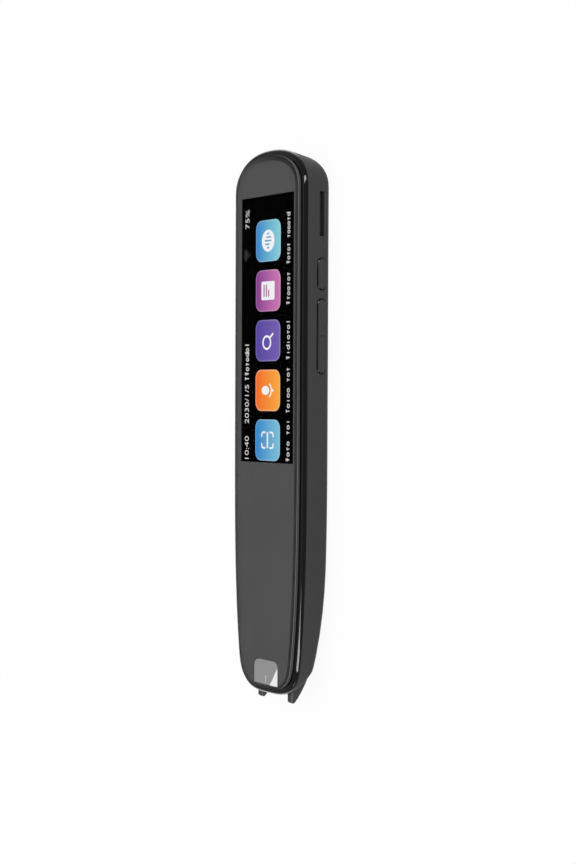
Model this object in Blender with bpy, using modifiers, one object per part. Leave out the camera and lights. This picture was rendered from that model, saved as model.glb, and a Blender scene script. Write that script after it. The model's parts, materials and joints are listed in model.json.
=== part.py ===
"""A hand-held text scanner, built the way it comes apart on a bench. Metres, +Z out of the screen.

The pen lies on its flat back. The origin is on that rear face, halfway along the pen: +Y runs to the
charging end, -Y to the scanning tip, and +X to the side with the keys.
"""

import math

import bmesh
import bpy
from mathutils import Matrix, Vector

MM = 0.001

# Counts that set how finely the round shapes are drawn
TOP_STEPS = 16
SIDE_STEPS = 12
TIP_STEPS = 14
CORNER_STEPS = 6
BAND_STEPS = 6
PILL_STEPS = 8
ROUND_SIDES = 16
SCREW_SIDES = 12

# Clearances
GLUE = 0.05 * MM
SEAT_GAP = 0.05 * MM
REST_GAP = 0.3 * MM
SLIDE_GAP = 0.15 * MM
BORE_GAP = 0.1 * MM
PIVOT_GAP = 0.05 * MM
OVERRUN = 2.0 * MM
ROOT = 0.2 * MM
SHARP_ANGLE = math.radians(35)

# Front outline, taken at the outer edge of the front plate
PLATE_HALF_WIDTH = 14.2 * MM
PLATE_HALF_LENGTH = 71.6 * MM
TOP_CURVE_RISE = 9.4 * MM
TOP_CURVE_POWER = 2.25
TAPER_START = 6.1 * MM
TAPER_DEPTH = 3.656 * MM
TAPER_POWER = 3.7
TIP_CURVE_RISE = 9.6 * MM
TIP_CURVE_POWER = 3.5

# Rear case
WALL = 1.2 * MM
CASE_MARGIN = 1.7 * MM
CASE_RIM = 8.11 * MM
CASE_CORNER = 2.5 * MM
CORNER_DEPTH_SHARE = 0.8
END_LEAN = 1.6 * MM
REAR_RIM = 3.0 * MM
REAR_DISH = 0.02 * MM
CAVITY_CORNER = 1.3 * MM
LIP_DEPTH = 0.4 * MM
CHIN_LENGTH = 31.4 * MM
CHIN_RISE = 2.5 * MM
CHIN_POWER = 2.3
NOSE_LENGTH = 6.9 * MM
NOSE_SLOPE = 0.58
INNER_MARGIN = CASE_MARGIN - WALL
INNER_SIDE = PLATE_HALF_WIDTH + INNER_MARGIN
OUTER_SIDE = PLATE_HALF_WIDTH + CASE_MARGIN
OUTER_END = PLATE_HALF_LENGTH + CASE_MARGIN
INNER_END = PLATE_HALF_LENGTH + INNER_MARGIN
FLOOR = WALL

# Middle frame: the glossy band, its ledge and the tray under the display
RIM_GAP = 0.05 * MM
BAND_HEIGHT = 1.14 * MM
BAND_CREST = 0.86 * MM
LEDGE_WIDTH = 1.0 * MM
RECESS_DEPTH = 1.8 * MM
TRAY_THICKNESS = 0.6 * MM
NOSE_RELIEF = 0.9 * MM
FRAME_FOOT = CASE_RIM + RIM_GAP
FRAME_FACE = FRAME_FOOT + BAND_HEIGHT
TRAY_FRONT = FRAME_FACE - RECESS_DEPTH
TRAY_BACK = TRAY_FRONT - TRAY_THICKNESS

# Front panel and cover glass
PANEL_THICKNESS = 0.35 * MM
GLASS_THICKNESS = 0.64 * MM
GLASS_BEVEL_DEPTH = 0.25 * MM
GLASS_BEVEL_SIDE = 0.85 * MM
GLASS_BEVEL_TOP = 1.4 * MM
GLASS_BEVEL_TIP = 0.5 * MM
PANEL_BACK = FRAME_FACE + GLUE
PANEL_FRONT = PANEL_BACK + PANEL_THICKNESS
GLASS_BACK = PANEL_FRONT + GLUE
GLASS_FRONT = GLASS_BACK + GLASS_THICKNESS

# Display
SCREEN_WIDTH = 23.6 * MM
SCREEN_LENGTH = 71.8 * MM
SCREEN_SET_BACK = 10.6 * MM
SCREEN_CENTRE = PLATE_HALF_LENGTH - SCREEN_SET_BACK - SCREEN_LENGTH / 2
DISPLAY_SIDE_MARGIN = 1.1 * MM
DISPLAY_TOP_MARGIN = 1.2 * MM
DISPLAY_DRIVER_MARGIN = 3.2 * MM
DISPLAY_THICKNESS = 1.2 * MM
FOAM_INSET = 2.6 * MM
DISPLAY_TOP = SCREEN_CENTRE + SCREEN_LENGTH / 2 + DISPLAY_TOP_MARGIN
DISPLAY_BOTTOM = SCREEN_CENTRE - SCREEN_LENGTH / 2 - DISPLAY_DRIVER_MARGIN
DISPLAY_SIDE = SCREEN_WIDTH / 2 + DISPLAY_SIDE_MARGIN
DISPLAY_BACK = FRAME_FACE - DISPLAY_THICKNESS

# Sight window and the mouth of the tip
WINDOW_HALF_WIDTH = 5.4 * MM
WINDOW_SET_BACK = 0.7 * MM
WINDOW_LENGTH = 6.7 * MM
WINDOW_BOTTOM = WINDOW_SET_BACK - PLATE_HALF_LENGTH
WINDOW_TOP = WINDOW_BOTTOM + WINDOW_LENGTH
WINDOW_RADIUS = 1.75 * MM
MOUTH_HALF_WIDTH = 4.7 * MM
GUIDE_RECESS = 0.5 * MM

# Nib: two skids on one carriage
FOOT_INNER = 5.7 * MM
FOOT_OUTER = 7.7 * MM
FOOT_PROJECTION = 2.0 * MM
FOOT_FRONT = 6.65 * MM
FOOT_NOSE = 0.9 * MM
SKID_LENGTH = 8.5 * MM
SKID_LOW = 0.3 * MM
SKID_POWER = 1.2
SKID_STEPS = 7
HEEL_LENGTH = 5.0 * MM
HEEL_RISE = 2.1 * MM
LEG_DEPTH = 2.6 * MM
CARRIAGE_LENGTH = 15.6 * MM
CARRIAGE_END = CARRIAGE_LENGTH - PLATE_HALF_LENGTH
YOKE_LENGTH = 3.5 * MM
YOKE_THICKNESS = 0.6 * MM
ARM_LENGTH = 1.2 * MM
ARM_REACH = 3.1 * MM
ARM_SET_BACK = 1.3 * MM
NIB_TRAVEL = 0.8 * MM
FOOT_TIP = -OUTER_END - FOOT_PROJECTION
SKID_START = FOOT_TIP + SKID_LENGTH
HEEL_END = SKID_START + HEEL_LENGTH
ARM_BACK = CARRIAGE_END - ARM_SET_BACK
SIDE_SEAT_INSET = 1.1 * MM
SIDE_SEAT = FOOT_OUTER + ARM_REACH - SIDE_SEAT_INSET

# Nib spring and the rib with the post it runs on
SPRING_RADIUS = 1.0 * MM
SPRING_WIRE = 0.15 * MM
SPRING_TURNS = 6
SPRING_POINTS = 10
SPRING_LENGTH = 6.6 * MM
POST_RADIUS = 0.5 * MM
POST_LENGTH = 5.7 * MM
RIB_THICKNESS = 1.0 * MM
RIB_HALF_WIDTH = 1.5 * MM
SPRING_AXIS = FOOT_FRONT - LEG_DEPTH / 2
SPRING_BACK = ARM_BACK + SPRING_LENGTH

# Tip switch
TIP_SWITCH_LENGTH = 3.4 * MM
TIP_SWITCH_HALF_WIDTH = 1.2 * MM
TIP_SWITCH_GAP = 0.5 * MM
PLUNGER_RADIUS = 0.6 * MM
TIP_PLUNGER_LENGTH = 2.0 * MM
TIP_BORE_DEPTH = 2.0 * MM
TIP_SWITCH_FRONT = ARM_BACK + NIB_TRAVEL + TIP_SWITCH_GAP

# Camera
CAMERA_HALF_WIDTH = 3.2 * MM
CAMERA_LENGTH = 5.8 * MM
CAMERA_HEIGHT = 2.35 * MM
CAMERA_BORE = 1.0 * MM
CAMERA_BORE_DEPTH = 3.0 * MM
LENS_THICKNESS = 1.1 * MM
LENS_CROWN = 0.25 * MM
LENS_INSET = 0.2 * MM
SENSOR_BOARD_THICKNESS = 0.6 * MM
SENSOR_BOARD_HALF_WIDTH = 4.4 * MM
SENSOR_BOARD_HEIGHT = 3.6 * MM
LAMP_WIDTH = 1.2 * MM
LAMP_LENGTH = 1.2 * MM
LAMP_HEIGHT = 1.6 * MM
CAMERA_TOP = FOOT_FRONT - YOKE_THICKNESS - SLIDE_GAP
CAMERA_BOTTOM = CAMERA_TOP - CAMERA_HEIGHT
CAMERA_AXIS = (CAMERA_TOP + CAMERA_BOTTOM) / 2
CAMERA_BACK = CARRIAGE_END + YOKE_LENGTH
CAMERA_FRONT = CAMERA_BACK - CAMERA_LENGTH

# Main board and what is on it
BOARD_THICKNESS = 0.8 * MM
BOARD_HALF_WIDTH = 12.2 * MM
BOARD_TOP_SET_BACK = 65.9 * MM
BOARD_TIP_SPACING = 11.5 * MM
STANDOFF_HEIGHT = 2.1 * MM
STANDOFF_RADIUS = 1.5 * MM
BOARD_HOLE_X = 10.4 * MM
BOARD_HOLE_INSET = 3.0 * MM
CHIP_HEIGHT = 0.9 * MM
CHIP_SPACING = 1.6 * MM
PROCESSOR_SIZE = 8.0 * MM
MEMORY_LENGTH = 8.0 * MM
MEMORY_WIDTH = 3.5 * MM
CAN_HEIGHT = 1.85 * MM
CAN_WALL = 0.25 * MM
CAN_INSET = 2.5 * MM
POWER_CHIP_SIZE = 4.0 * MM
SOCKET_HALF_WIDTH = 4.2 * MM
SOCKET_LENGTH = 3.2 * MM
SOCKET_HEIGHT = 1.05 * MM
SOCKET_INSET = 0.8 * MM
FLEX_PASSAGE_LENGTH = 2.5 * MM
FLEX_PASSAGE_MARGIN = 0.6 * MM
FLEX_BEND = 0.4 * MM
BATTERY_SOCKET_LENGTH = 3.0 * MM
BOARD_BACK = FLOOR + STANDOFF_HEIGHT
BOARD_FRONT = BOARD_BACK + BOARD_THICKNESS
BOARD_TOP = PLATE_HALF_LENGTH - BOARD_TOP_SET_BACK
BOARD_BOTTOM = CARRIAGE_END + BOARD_TIP_SPACING
PARTS_BACK = BOARD_FRONT + SEAT_GAP
CAN_HALF_WIDTH = (PROCESSOR_SIZE + MEMORY_WIDTH + 3 * CHIP_SPACING) / 2 + CAN_WALL
CAN_LENGTH = max(PROCESSOR_SIZE, MEMORY_LENGTH) + 2 * (CHIP_SPACING + CAN_WALL)
CAN_BOTTOM = BOARD_BOTTOM + CAN_INSET
CAN_TOP = CAN_BOTTOM + CAN_LENGTH
SOCKET_TOP = BOARD_TOP - SOCKET_INSET
SOCKET_BOTTOM = SOCKET_TOP - SOCKET_LENGTH

# Screws: long ones through the tray into the case, short ones for the board
SCREW_HEAD_RADIUS = 1.2 * MM
SCREW_HEAD_HEIGHT = 0.45 * MM
SCREW_RADIUS = 0.6 * MM
SCREW_RECESS = 0.22 * MM
SCREW_DRIVE_RADIUS = 0.55 * MM
LONG_SCREW = 4.2 * MM
SHORT_SCREW = 2.2 * MM
BOSS_RADIUS = 1.7 * MM
BOSS_SPACING = 1.1 * MM
TOP_BOSS_X = 10.9 * MM
TOP_BOSS_INSET = 6.9 * MM

# Battery
BATTERY_LEFT = -13.0 * MM
BATTERY_WIDTH = 22.4 * MM
BATTERY_LENGTH = 36.4 * MM
BATTERY_THICKNESS = 4.25 * MM
BATTERY_ROUNDING = 0.6 * MM
BATTERY_FENCE = 0.5 * MM
FENCE_HEIGHT = 1.4 * MM
LEAD_WIDTH = 3.5 * MM
LEAD_X = -7.0 * MM
RIBBON_THICKNESS = 0.12 * MM
BATTERY_BOTTOM = BOARD_TOP + 2 * BOSS_SPACING + 2 * BOSS_RADIUS + BATTERY_FENCE + 2 * SEAT_GAP
BATTERY_TOP = BATTERY_BOTTOM + BATTERY_LENGTH
BATTERY_RIGHT = BATTERY_LEFT + BATTERY_WIDTH
BATTERY_BACK = FLOOR + SLIDE_GAP

# Side keys, their switches and the strip board behind them
KEY_HEIGHT = 3.55 * MM
KEY_WIDTH = 2.9 * MM
KEY_PROUD = 0.3 * MM
KEY_ROUNDING = 0.3 * MM
POWER_KEY_SET_BACK = 32.27 * MM
POWER_KEY_LENGTH = 8.4 * MM
KEY_SPACING = 16.43 * MM
POWER_KEY_CENTRE = PLATE_HALF_LENGTH - POWER_KEY_SET_BACK
ROCKER_CENTRE = POWER_KEY_CENTRE - KEY_SPACING
ROCKER_LENGTH = 19.8 * MM
ROCKER_SWITCH_SPACING = 6.5 * MM
ROCKER_SWING = math.radians(1.4)
ROCKER_MARK_WIDTH = 0.5 * MM
ROCKER_MARK_DEPTH = 0.12 * MM
FLANGE_THICKNESS = 0.75 * MM
FLANGE_REACH = 0.7 * MM
FLANGE_INSET = 0.15 * MM
PLUNGER_LENGTH = 1.55 * MM
PLUNGER_SHOWS = 0.65 * MM
SWITCH_DEPTH = 2.2 * MM
SWITCH_LENGTH = 3.8 * MM
SWITCH_WIDTH = 2.7 * MM
SWITCH_BORE_DEPTH = 1.6 * MM
KEY_BOARD_THICKNESS = 0.5 * MM
KEY_BOARD_LENGTH = 31.0 * MM
KEY_BOARD_HEIGHT = 4.6 * MM
STIFFENER_THICKNESS = 0.35 * MM
PIN_RADIUS = 0.4 * MM
PIN_INSET = 1.5 * MM
LUG_RADIUS = 1.0 * MM
LUG_HEIGHT = KEY_WIDTH - 2 * SLIDE_GAP
CRADLE_THICKNESS = 0.6 * MM
KEY_FLANGE_FRONT = INNER_SIDE - FLANGE_INSET
ROCKER_FLANGE_FRONT = INNER_SIDE - ROCKER_LENGTH / 2 * math.sin(ROCKER_SWING) - FLANGE_INSET
ROCKER_BACK = ROCKER_FLANGE_FRONT - FLANGE_THICKNESS
SWITCH_FRONT = ROCKER_BACK - SEAT_GAP - PLUNGER_SHOWS
SWITCH_BACK = SWITCH_FRONT - SWITCH_DEPTH
PIN_X = INNER_SIDE - PIN_INSET
KEY_BOARD_FRONT = SWITCH_BACK - SEAT_GAP
KEY_BOARD_BACK = KEY_BOARD_FRONT - KEY_BOARD_THICKNESS
KEY_BOARD_CENTRE = (POWER_KEY_CENTRE + ROCKER_CENTRE - ROCKER_SWITCH_SPACING) / 2
KEY_BOARD_FOOT = FLOOR + REST_GAP

# Speaker and its slot
SLOT_SET_BACK = 16.4 * MM
SLOT_CENTRE = PLATE_HALF_LENGTH - SLOT_SET_BACK
SLOT_LENGTH = 11.8 * MM
SLOT_WIDTH = 1.5 * MM
SLOT_HEIGHT = 3.58 * MM
MESH_THICKNESS = 0.25 * MM
MESH_OVERLAP = 0.7 * MM
SPEAKER_WIDTH = 10.8 * MM
SPEAKER_THICKNESS = 4.8 * MM
SPEAKER_ROUNDING = 0.4 * MM
SPEAKER_LENGTH = SLOT_LENGTH + 2 * SEAT_GAP
MESH_FRONT = INNER_SIDE - REST_GAP
SPEAKER_FRONT = MESH_FRONT - MESH_THICKNESS - SLIDE_GAP

# Charging end
SOCKET_SHELL_WIDTH = 8.94 * MM
SOCKET_SHELL_HEIGHT = 3.2 * MM
SOCKET_SHELL_LENGTH = 7.3 * MM
SOCKET_SHELL_WALL = 0.3 * MM
SOCKET_SHELL_BACK = 1.1 * MM
SOCKET_SHELL_SET_BACK = 0.3 * MM
TONGUE_WIDTH = 6.7 * MM
TONGUE_THICKNESS = 0.7 * MM
TONGUE_SET_BACK = 0.7 * MM
TOP_BOARD_THICKNESS = 0.7 * MM
TOP_BOARD_HALF_WIDTH = 8.6 * MM
TOP_BOARD_SET_BACK = 3.2 * MM
TOP_BOARD_LEFT = -12.6 * MM
MICROPHONE_X = -6.7 * MM
MICROPHONE_SIZE = 2.8 * MM
MICROPHONE_HEIGHT = 1.0 * MM
MICROPHONE_PORT = 0.4 * MM
TOP_BOARD_BACK = FLOOR + REST_GAP
TOP_BOARD_FRONT = TOP_BOARD_BACK + TOP_BOARD_THICKNESS
SOCKET_SHELL_FOOT = TOP_BOARD_FRONT + SEAT_GAP
SOCKET_SHELL_AXIS = SOCKET_SHELL_FOOT + SOCKET_SHELL_HEIGHT / 2
SOCKET_SHELL_LEAN = END_LEAN * (CASE_RIM - SOCKET_SHELL_FOOT) / CASE_RIM
SOCKET_SHELL_FRONT = OUTER_END - SOCKET_SHELL_LEAN - SOCKET_SHELL_SET_BACK

# Antenna
ANTENNA_THICKNESS = 0.15 * MM
ANTENNA_LENGTH = 34.0 * MM
ANTENNA_HEIGHT = 3.3 * MM
ANTENNA_FOOT = 1.7 * MM

# Finishes: colour, roughness, metallic
CASE_PLASTIC = ((0.045, 0.046, 0.048), 0.55, 0.0)
GLOSS_PLASTIC = ((0.008, 0.008, 0.009), 0.12, 0.0)
PANEL_PRINT = ((0.078, 0.079, 0.082), 0.45, 0.0)
CLEAR_GLASS = ((0.9, 0.92, 0.93), 0.05, 0.0)
CLEAR_PLASTIC = ((0.75, 0.78, 0.8), 0.1, 0.0)
NIB_PLASTIC = ((0.03, 0.03, 0.031), 0.4, 0.0)
KEY_PLASTIC = ((0.04, 0.041, 0.043), 0.4, 0.0)
SCREEN_BLACK = ((0.004, 0.004, 0.004), 0.1, 0.0)
BOARD_GREEN = ((0.02, 0.1, 0.05), 0.5, 0.0)
CHIP_BLACK = ((0.015, 0.015, 0.016), 0.5, 0.0)
STEEL = ((0.55, 0.55, 0.56), 0.3, 1.0)
FLEX_AMBER = ((0.35, 0.16, 0.03), 0.4, 0.0)
FOAM_BLACK = ((0.02, 0.02, 0.02), 0.95, 0.0)
CELL_SILVER = ((0.45, 0.46, 0.47), 0.4, 0.6)
LAMP_WHITE = ((0.8, 0.8, 0.75), 0.3, 0.0)
MESH_BLACK = ((0.01, 0.01, 0.01), 0.7, 0.0)


def clear_scene():
    for obj in list(bpy.data.objects):
        bpy.data.objects.remove(obj)
    for name in ("scanning_pen", "cutters"):
        bpy.context.scene.collection.children.link(bpy.data.collections.new(name))


def place(obj, helper=False):
    """Puts an object among the pen's parts or, as a helper, among the cutters."""
    bpy.data.collections["cutters" if helper else "scanning_pen"].objects.link(obj)
    if helper:
        obj.hide_render = True
        obj.display_type = "WIRE"
    return obj


def paint(obj, finish):
    colour, roughness, metallic = finish
    material = bpy.data.materials.new(obj.name)
    material.use_nodes = True
    shader = material.node_tree.nodes["Principled BSDF"]
    shader.inputs["Base Color"].default_value = (*colour, 1)
    shader.inputs["Roughness"].default_value = roughness
    shader.inputs["Metallic"].default_value = metallic
    obj.data.materials.append(material)
    return obj


def object_of(name, shape, finish=None):
    """An object with this bmesh's shape: a part where it has a finish, else a helper."""
    mesh = bpy.data.meshes.new(name)
    bmesh.ops.recalc_face_normals(shape, faces=shape.faces)
    shape.to_mesh(mesh)
    shape.free()
    obj = place(bpy.data.objects.new(name, mesh), helper=finish is None)
    return paint(obj, finish) if finish else obj


def put_origin(obj, x, y, z):
    """Moves the object's origin to this point and leaves its shape where it is."""
    obj.data.transform(Matrix.Translation((-x, -y, -z)))
    obj.location = (x, y, z)
    return obj


def modify(obj, kind, **settings):
    modifier = obj.modifiers.new(kind.lower(), kind)
    for key, value in settings.items():
        setattr(modifier, key, value)
    return modifier


def cut(obj, *tools):
    for tool in tools:
        modify(obj, "BOOLEAN", operation="DIFFERENCE", object=tool)
    return obj


def join(obj, *tools):
    for tool in tools:
        modify(obj, "BOOLEAN", operation="UNION", object=tool)
    return obj


def bevel(obj, width, segments=2):
    modify(obj, "BEVEL", width=width, segments=segments, limit_method="ANGLE")
    return obj


def box(name, x, y, z, finish=None):
    """A box between the low and high value of each axis."""
    shape = bmesh.new()
    bmesh.ops.create_cube(shape, size=1)
    spans = (x, y, z)
    bmesh.ops.scale(shape, vec=[high - low for low, high in spans], verts=shape.verts)
    bmesh.ops.translate(shape, vec=[(high + low) / 2 for low, high in spans], verts=shape.verts)
    return object_of(name, shape, finish)


def about(centre, width):
    return centre - width / 2, centre + width / 2


def rod(name, radius, start, end, finish=None, sides=ROUND_SIDES):
    """A cylinder from one point to another."""
    start, end = Vector(start), Vector(end)
    shape = bmesh.new()
    bmesh.ops.create_cone(
        shape,
        cap_ends=True,
        segments=sides,
        radius1=radius,
        radius2=radius,
        depth=(end - start).length,
    )
    turn = (end - start).to_track_quat("Z", "Y").to_matrix().to_4x4()
    bmesh.ops.transform(shape, matrix=Matrix.Translation((start + end) / 2) @ turn, verts=shape.verts)
    return object_of(name, shape, finish)


def mesh_of_curve(curve_object, name, finish):
    """Turns a curve into a welded mesh, so that it can be cut, joined or bevelled."""
    place(curve_object, helper=True)
    bpy.context.view_layer.update()
    graph = bpy.context.evaluated_depsgraph_get()
    mesh = bpy.data.meshes.new_from_object(curve_object.evaluated_get(graph))
    matrix = curve_object.matrix_world.copy()
    bpy.data.objects.remove(curve_object)
    shape = bmesh.new()
    shape.from_mesh(mesh)
    bpy.data.meshes.remove(mesh)
    bmesh.ops.remove_doubles(shape, verts=shape.verts, dist=GLUE / ROUND_SIDES)
    bmesh.ops.transform(shape, matrix=matrix, verts=shape.verts)
    return object_of(name, shape, finish)


FACING = {
    "x": Matrix(((0, 0, 1, 0), (1, 0, 0, 0), (0, 1, 0, 0), (0, 0, 0, 1))),
    "y": Matrix(((1, 0, 0, 0), (0, 0, -1, 0), (0, 1, 0, 0), (0, 0, 0, 1))),
    "z": Matrix.Identity(4),
}


def plate(name, loops, low, high, finish=None, facing="z"):
    """A flat outline, with any further loops as holes, drawn out from low to high along one axis.

    Its points are (x, y) on a plate that faces z, (y, z) on one that faces x and (x, z) on one that faces y.
    """
    curve = bpy.data.curves.new(name, "CURVE")
    curve.dimensions = "2D"
    curve.fill_mode = "BOTH"
    curve.extrude = (high - low) / 2
    for loop in loops:
        spline = curve.splines.new("POLY")
        spline.points.add(len(loop) - 1)
        for point, (across, up) in zip(spline.points, loop):
            point.co = (across, up, 0, 1)
        spline.use_cyclic_u = True
    obj = bpy.data.objects.new(name, curve)
    shift = Vector([(high + low) / 2 if axis == facing else 0 for axis in "xyz"])
    obj.matrix_world = Matrix.Translation(shift) @ FACING[facing]
    return mesh_of_curve(obj, name, finish)


def pill(centre, length, width, steps=PILL_STEPS):
    """A strip with round ends, its length along the first axis."""
    radius = width / 2
    run = length / 2 - radius
    points = []
    for end, start in ((1, -math.pi / 2), (-1, math.pi / 2)):
        for step in range(steps + 1):
            turn = start + math.pi * step / steps
            across = centre[0] + end * run + radius * math.cos(turn)
            points.append((across, centre[1] + radius * math.sin(turn)))
    return points


def rounded_box(x, y, radius, corners, steps=CORNER_STEPS):
    """A rectangle whose corners are round where corners, from the top right clockwise, says so."""
    points = []
    ends = ((1, 1), (1, 0), (0, 0), (0, 1))
    for turn_index, ((right, top), is_round) in enumerate(zip(ends, corners)):
        corner = Vector((x[right], y[top]))
        if not is_round:
            points.append(tuple(corner))
            continue
        inward = Vector((1 - 2 * right, 1 - 2 * top)) * radius
        for step in range(steps + 1):
            turn = math.pi / 2 * (1 - turn_index - step / steps)
            arc = Vector((math.cos(turn), math.sin(turn))) * radius
            points.append(tuple(corner + inward + arc))
    return points


def turned(name, profile, finish=None, sides=ROUND_SIDES):
    """A turned solid on its own Z axis. The profile is (radius, height) from the top down its outer side."""
    shape = bmesh.new()
    points = [shape.verts.new((radius, 0, height)) for radius, height in profile]
    for first, second in zip(points, points[1:]):
        shape.edges.new((first, second))
    obj = object_of(name, shape, finish)
    modify(
        obj,
        "SCREW",
        steps=sides,
        render_steps=sides,
        use_merge_vertices=True,
        merge_threshold=GLUE / ROUND_SIDES,
    )
    return obj


def ribbon(name, path, across, finish):
    """A flat flexible cable: a path of (y, z) points with a thickness, as wide as across."""
    points = [Vector(point) for point in path]
    sides = []
    for i, point in enumerate(points):
        before = (point - points[i - 1]).normalized() if i else Vector((0, 0))
        after = (points[i + 1] - point).normalized() if i + 1 < len(points) else Vector((0, 0))
        along = (before + after).normalized()
        normal = Vector((-along.y, along.x)) * RIBBON_THICKNESS / 2
        sides.append((point + normal, point - normal))
    loop = [tuple(a) for a, b in sides] + [tuple(b) for a, b in reversed(sides)]
    return plate(name, [loop], *across, finish, facing="x")


def half_width(y):
    """Half the width of the front plate at this place along the pen."""
    fall = max(0, TAPER_START - y) / (TAPER_START + PLATE_HALF_LENGTH)
    return PLATE_HALF_WIDTH - TAPER_DEPTH * fall**TAPER_POWER


def right_half():
    """The right side of the front outline, from the middle of the top end to the middle of the tip."""
    top_centre = PLATE_HALF_LENGTH - TOP_CURVE_RISE
    tip_centre = TIP_CURVE_RISE - PLATE_HALF_LENGTH
    points = []
    for step in range(TOP_STEPS):
        turn = math.pi / 2 * step / TOP_STEPS
        y = top_centre + TOP_CURVE_RISE * math.cos(turn) ** (2 / TOP_CURVE_POWER)
        points.append((half_width(y) * math.sin(turn) ** (2 / TOP_CURVE_POWER), y))
    points.append((half_width(top_centre), top_centre))
    for step in range(SIDE_STEPS):
        y = TAPER_START + (tip_centre - TAPER_START) * step / SIDE_STEPS
        points.append((half_width(y), y))
    for step in range(TIP_STEPS):
        turn = math.pi / 2 * step / TIP_STEPS
        y = tip_centre - TIP_CURVE_RISE * math.sin(turn) ** (2 / TIP_CURVE_POWER)
        points.append((half_width(y) * math.cos(turn) ** (2 / TIP_CURVE_POWER), y))
    points.append((0, -PLATE_HALF_LENGTH))
    return points


def outline(side, top=None, tip=None):
    """The front outline pushed out by a margin at the sides, the top end and the tip."""
    top = side if top is None else top
    tip = side if tip is None else tip
    right = right_half()
    loop = [Vector(point) for point in right + [(-x, y) for x, y in reversed(right[1:-1])]]
    pushed = []
    for i, here in enumerate(loop):
        before = (here - loop[i - 1]).normalized()
        after = (loop[(i + 1) % len(loop)] - here).normalized()
        normals = [Vector((-along.y, along.x)) for along in (before, after)]
        mitre = (normals[0] + normals[1]) / (1 + normals[0].dot(normals[1]))
        facing = mitre.normalized()
        reach = side * facing.x**2 + (top if facing.y > 0 else tip) * facing.y**2
        pushed.append(here + mitre * reach)
    return pushed


def ring(margins, height):
    """The outline at these margins, lifted to a height that is a value or a function of y."""
    points = outline(*margins) if isinstance(margins, tuple) else outline(margins)
    return [(x, y, height(y) if callable(height) else height) for x, y in points]


def loft(name, rings, finish=None):
    """A closed solid through rings from front to back, with strips across its two ends."""
    shape = bmesh.new()
    rows = [[shape.verts.new(point) for point in points] for points in rings]
    count = len(rows[0])
    for upper, lower in zip(rows, rows[1:]):
        for i in range(count):
            after = (i + 1) % count
            shape.faces.new((upper[i], upper[after], lower[after], lower[i]))
    middle = count // 2
    for row in (rows[0], rows[-1]):
        shape.faces.new((row[0], row[1], row[-1]))
        shape.faces.new((row[middle - 1], row[middle], row[middle + 1]))
        for i in range(1, middle - 1):
            shape.faces.new((row[i], row[i + 1], row[-i - 1], row[-i]))
    return object_of(name, shape, finish)


def rear_height(y):
    """Height of the rear surface over the flat it lies on: the chin rises to the tip, and the nose is cut away."""
    nose_start = NOSE_LENGTH - OUTER_END
    chin = min(1, max(0, nose_start + CHIN_LENGTH - y) / CHIN_LENGTH)
    return CHIN_RISE * chin**CHIN_POWER + NOSE_SLOPE * max(0, nose_start - y)


def case_corner(y):
    """Depth of the rounded rear corner, which shrinks with the side at the nose."""
    return min(CASE_CORNER, CORNER_DEPTH_SHARE * (CASE_RIM - rear_height(y)))


def cavity_floor(y):
    return min(rear_height(y) + WALL, CASE_RIM - LIP_DEPTH)


def cavity_corner(y):
    return min(CAVITY_CORNER, CORNER_DEPTH_SHARE * (CASE_RIM - cavity_floor(y)))


def end_lean(height):
    """How far the wall of the charging end leans in at this height."""
    return END_LEAN * (CASE_RIM - height) / CASE_RIM


def bowl(name, margin, front, radius, floor, corner, dish=0.0, finish=None):
    """A solid tray shape: sides from the front, a rounded corner, and a floor that follows y. Its top end leans in.

    A dish keeps the middle of the rear face off the table, so the pen lies still on its rim.
    """
    rings = [ring((margin, margin - end_lean(front), margin), front)]
    for step in range(CORNER_STEPS + 1):
        turn = math.pi / 2 * step / CORNER_STEPS
        side = margin - radius * (1 - math.cos(turn))
        drop = 1 - math.sin(turn)
        top = side - end_lean(floor(INNER_END) + corner(INNER_END) * drop)
        rings.append(ring((side, top, side), lambda y, drop=drop: floor(y) + corner(y) * drop))
    if dish:
        inner = side - REAR_RIM
        rings.append(ring((inner, top - REAR_RIM, inner), lambda y: floor(y) + dish))
    return loft(name, rings, finish)


def boss_places():
    """Where the long screws go: beside the top board, between board and battery, and below the board."""
    low_y = BOARD_BOTTOM - BOSS_SPACING - BOSS_RADIUS
    clear = LEDGE_WIDTH + SCREW_HEAD_RADIUS + SLIDE_GAP
    low_x = half_width(low_y) - clear
    mid_y = BOARD_TOP + BOSS_SPACING + BOSS_RADIUS
    mid_x = half_width(mid_y) - clear
    top_y = INNER_END - TOP_BOSS_INSET
    return [(side * x, y) for x, y in ((low_x, low_y), (mid_x, mid_y), (TOP_BOSS_X, top_y)) for side in (-1, 1)]


def board_hole_places():
    low, high = BOARD_BOTTOM + BOARD_HOLE_INSET, BOARD_TOP - BOARD_HOLE_INSET
    return [(side * BOARD_HOLE_X, y) for y in (low, high) for side in (-1, 1)]


def pilot_radius():
    return SCREW_RADIUS + BORE_GAP


def key_pill(centre, length, grow=0):
    return pill((centre, KEY_HEIGHT), length + 2 * grow, KEY_WIDTH + 2 * grow)


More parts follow.
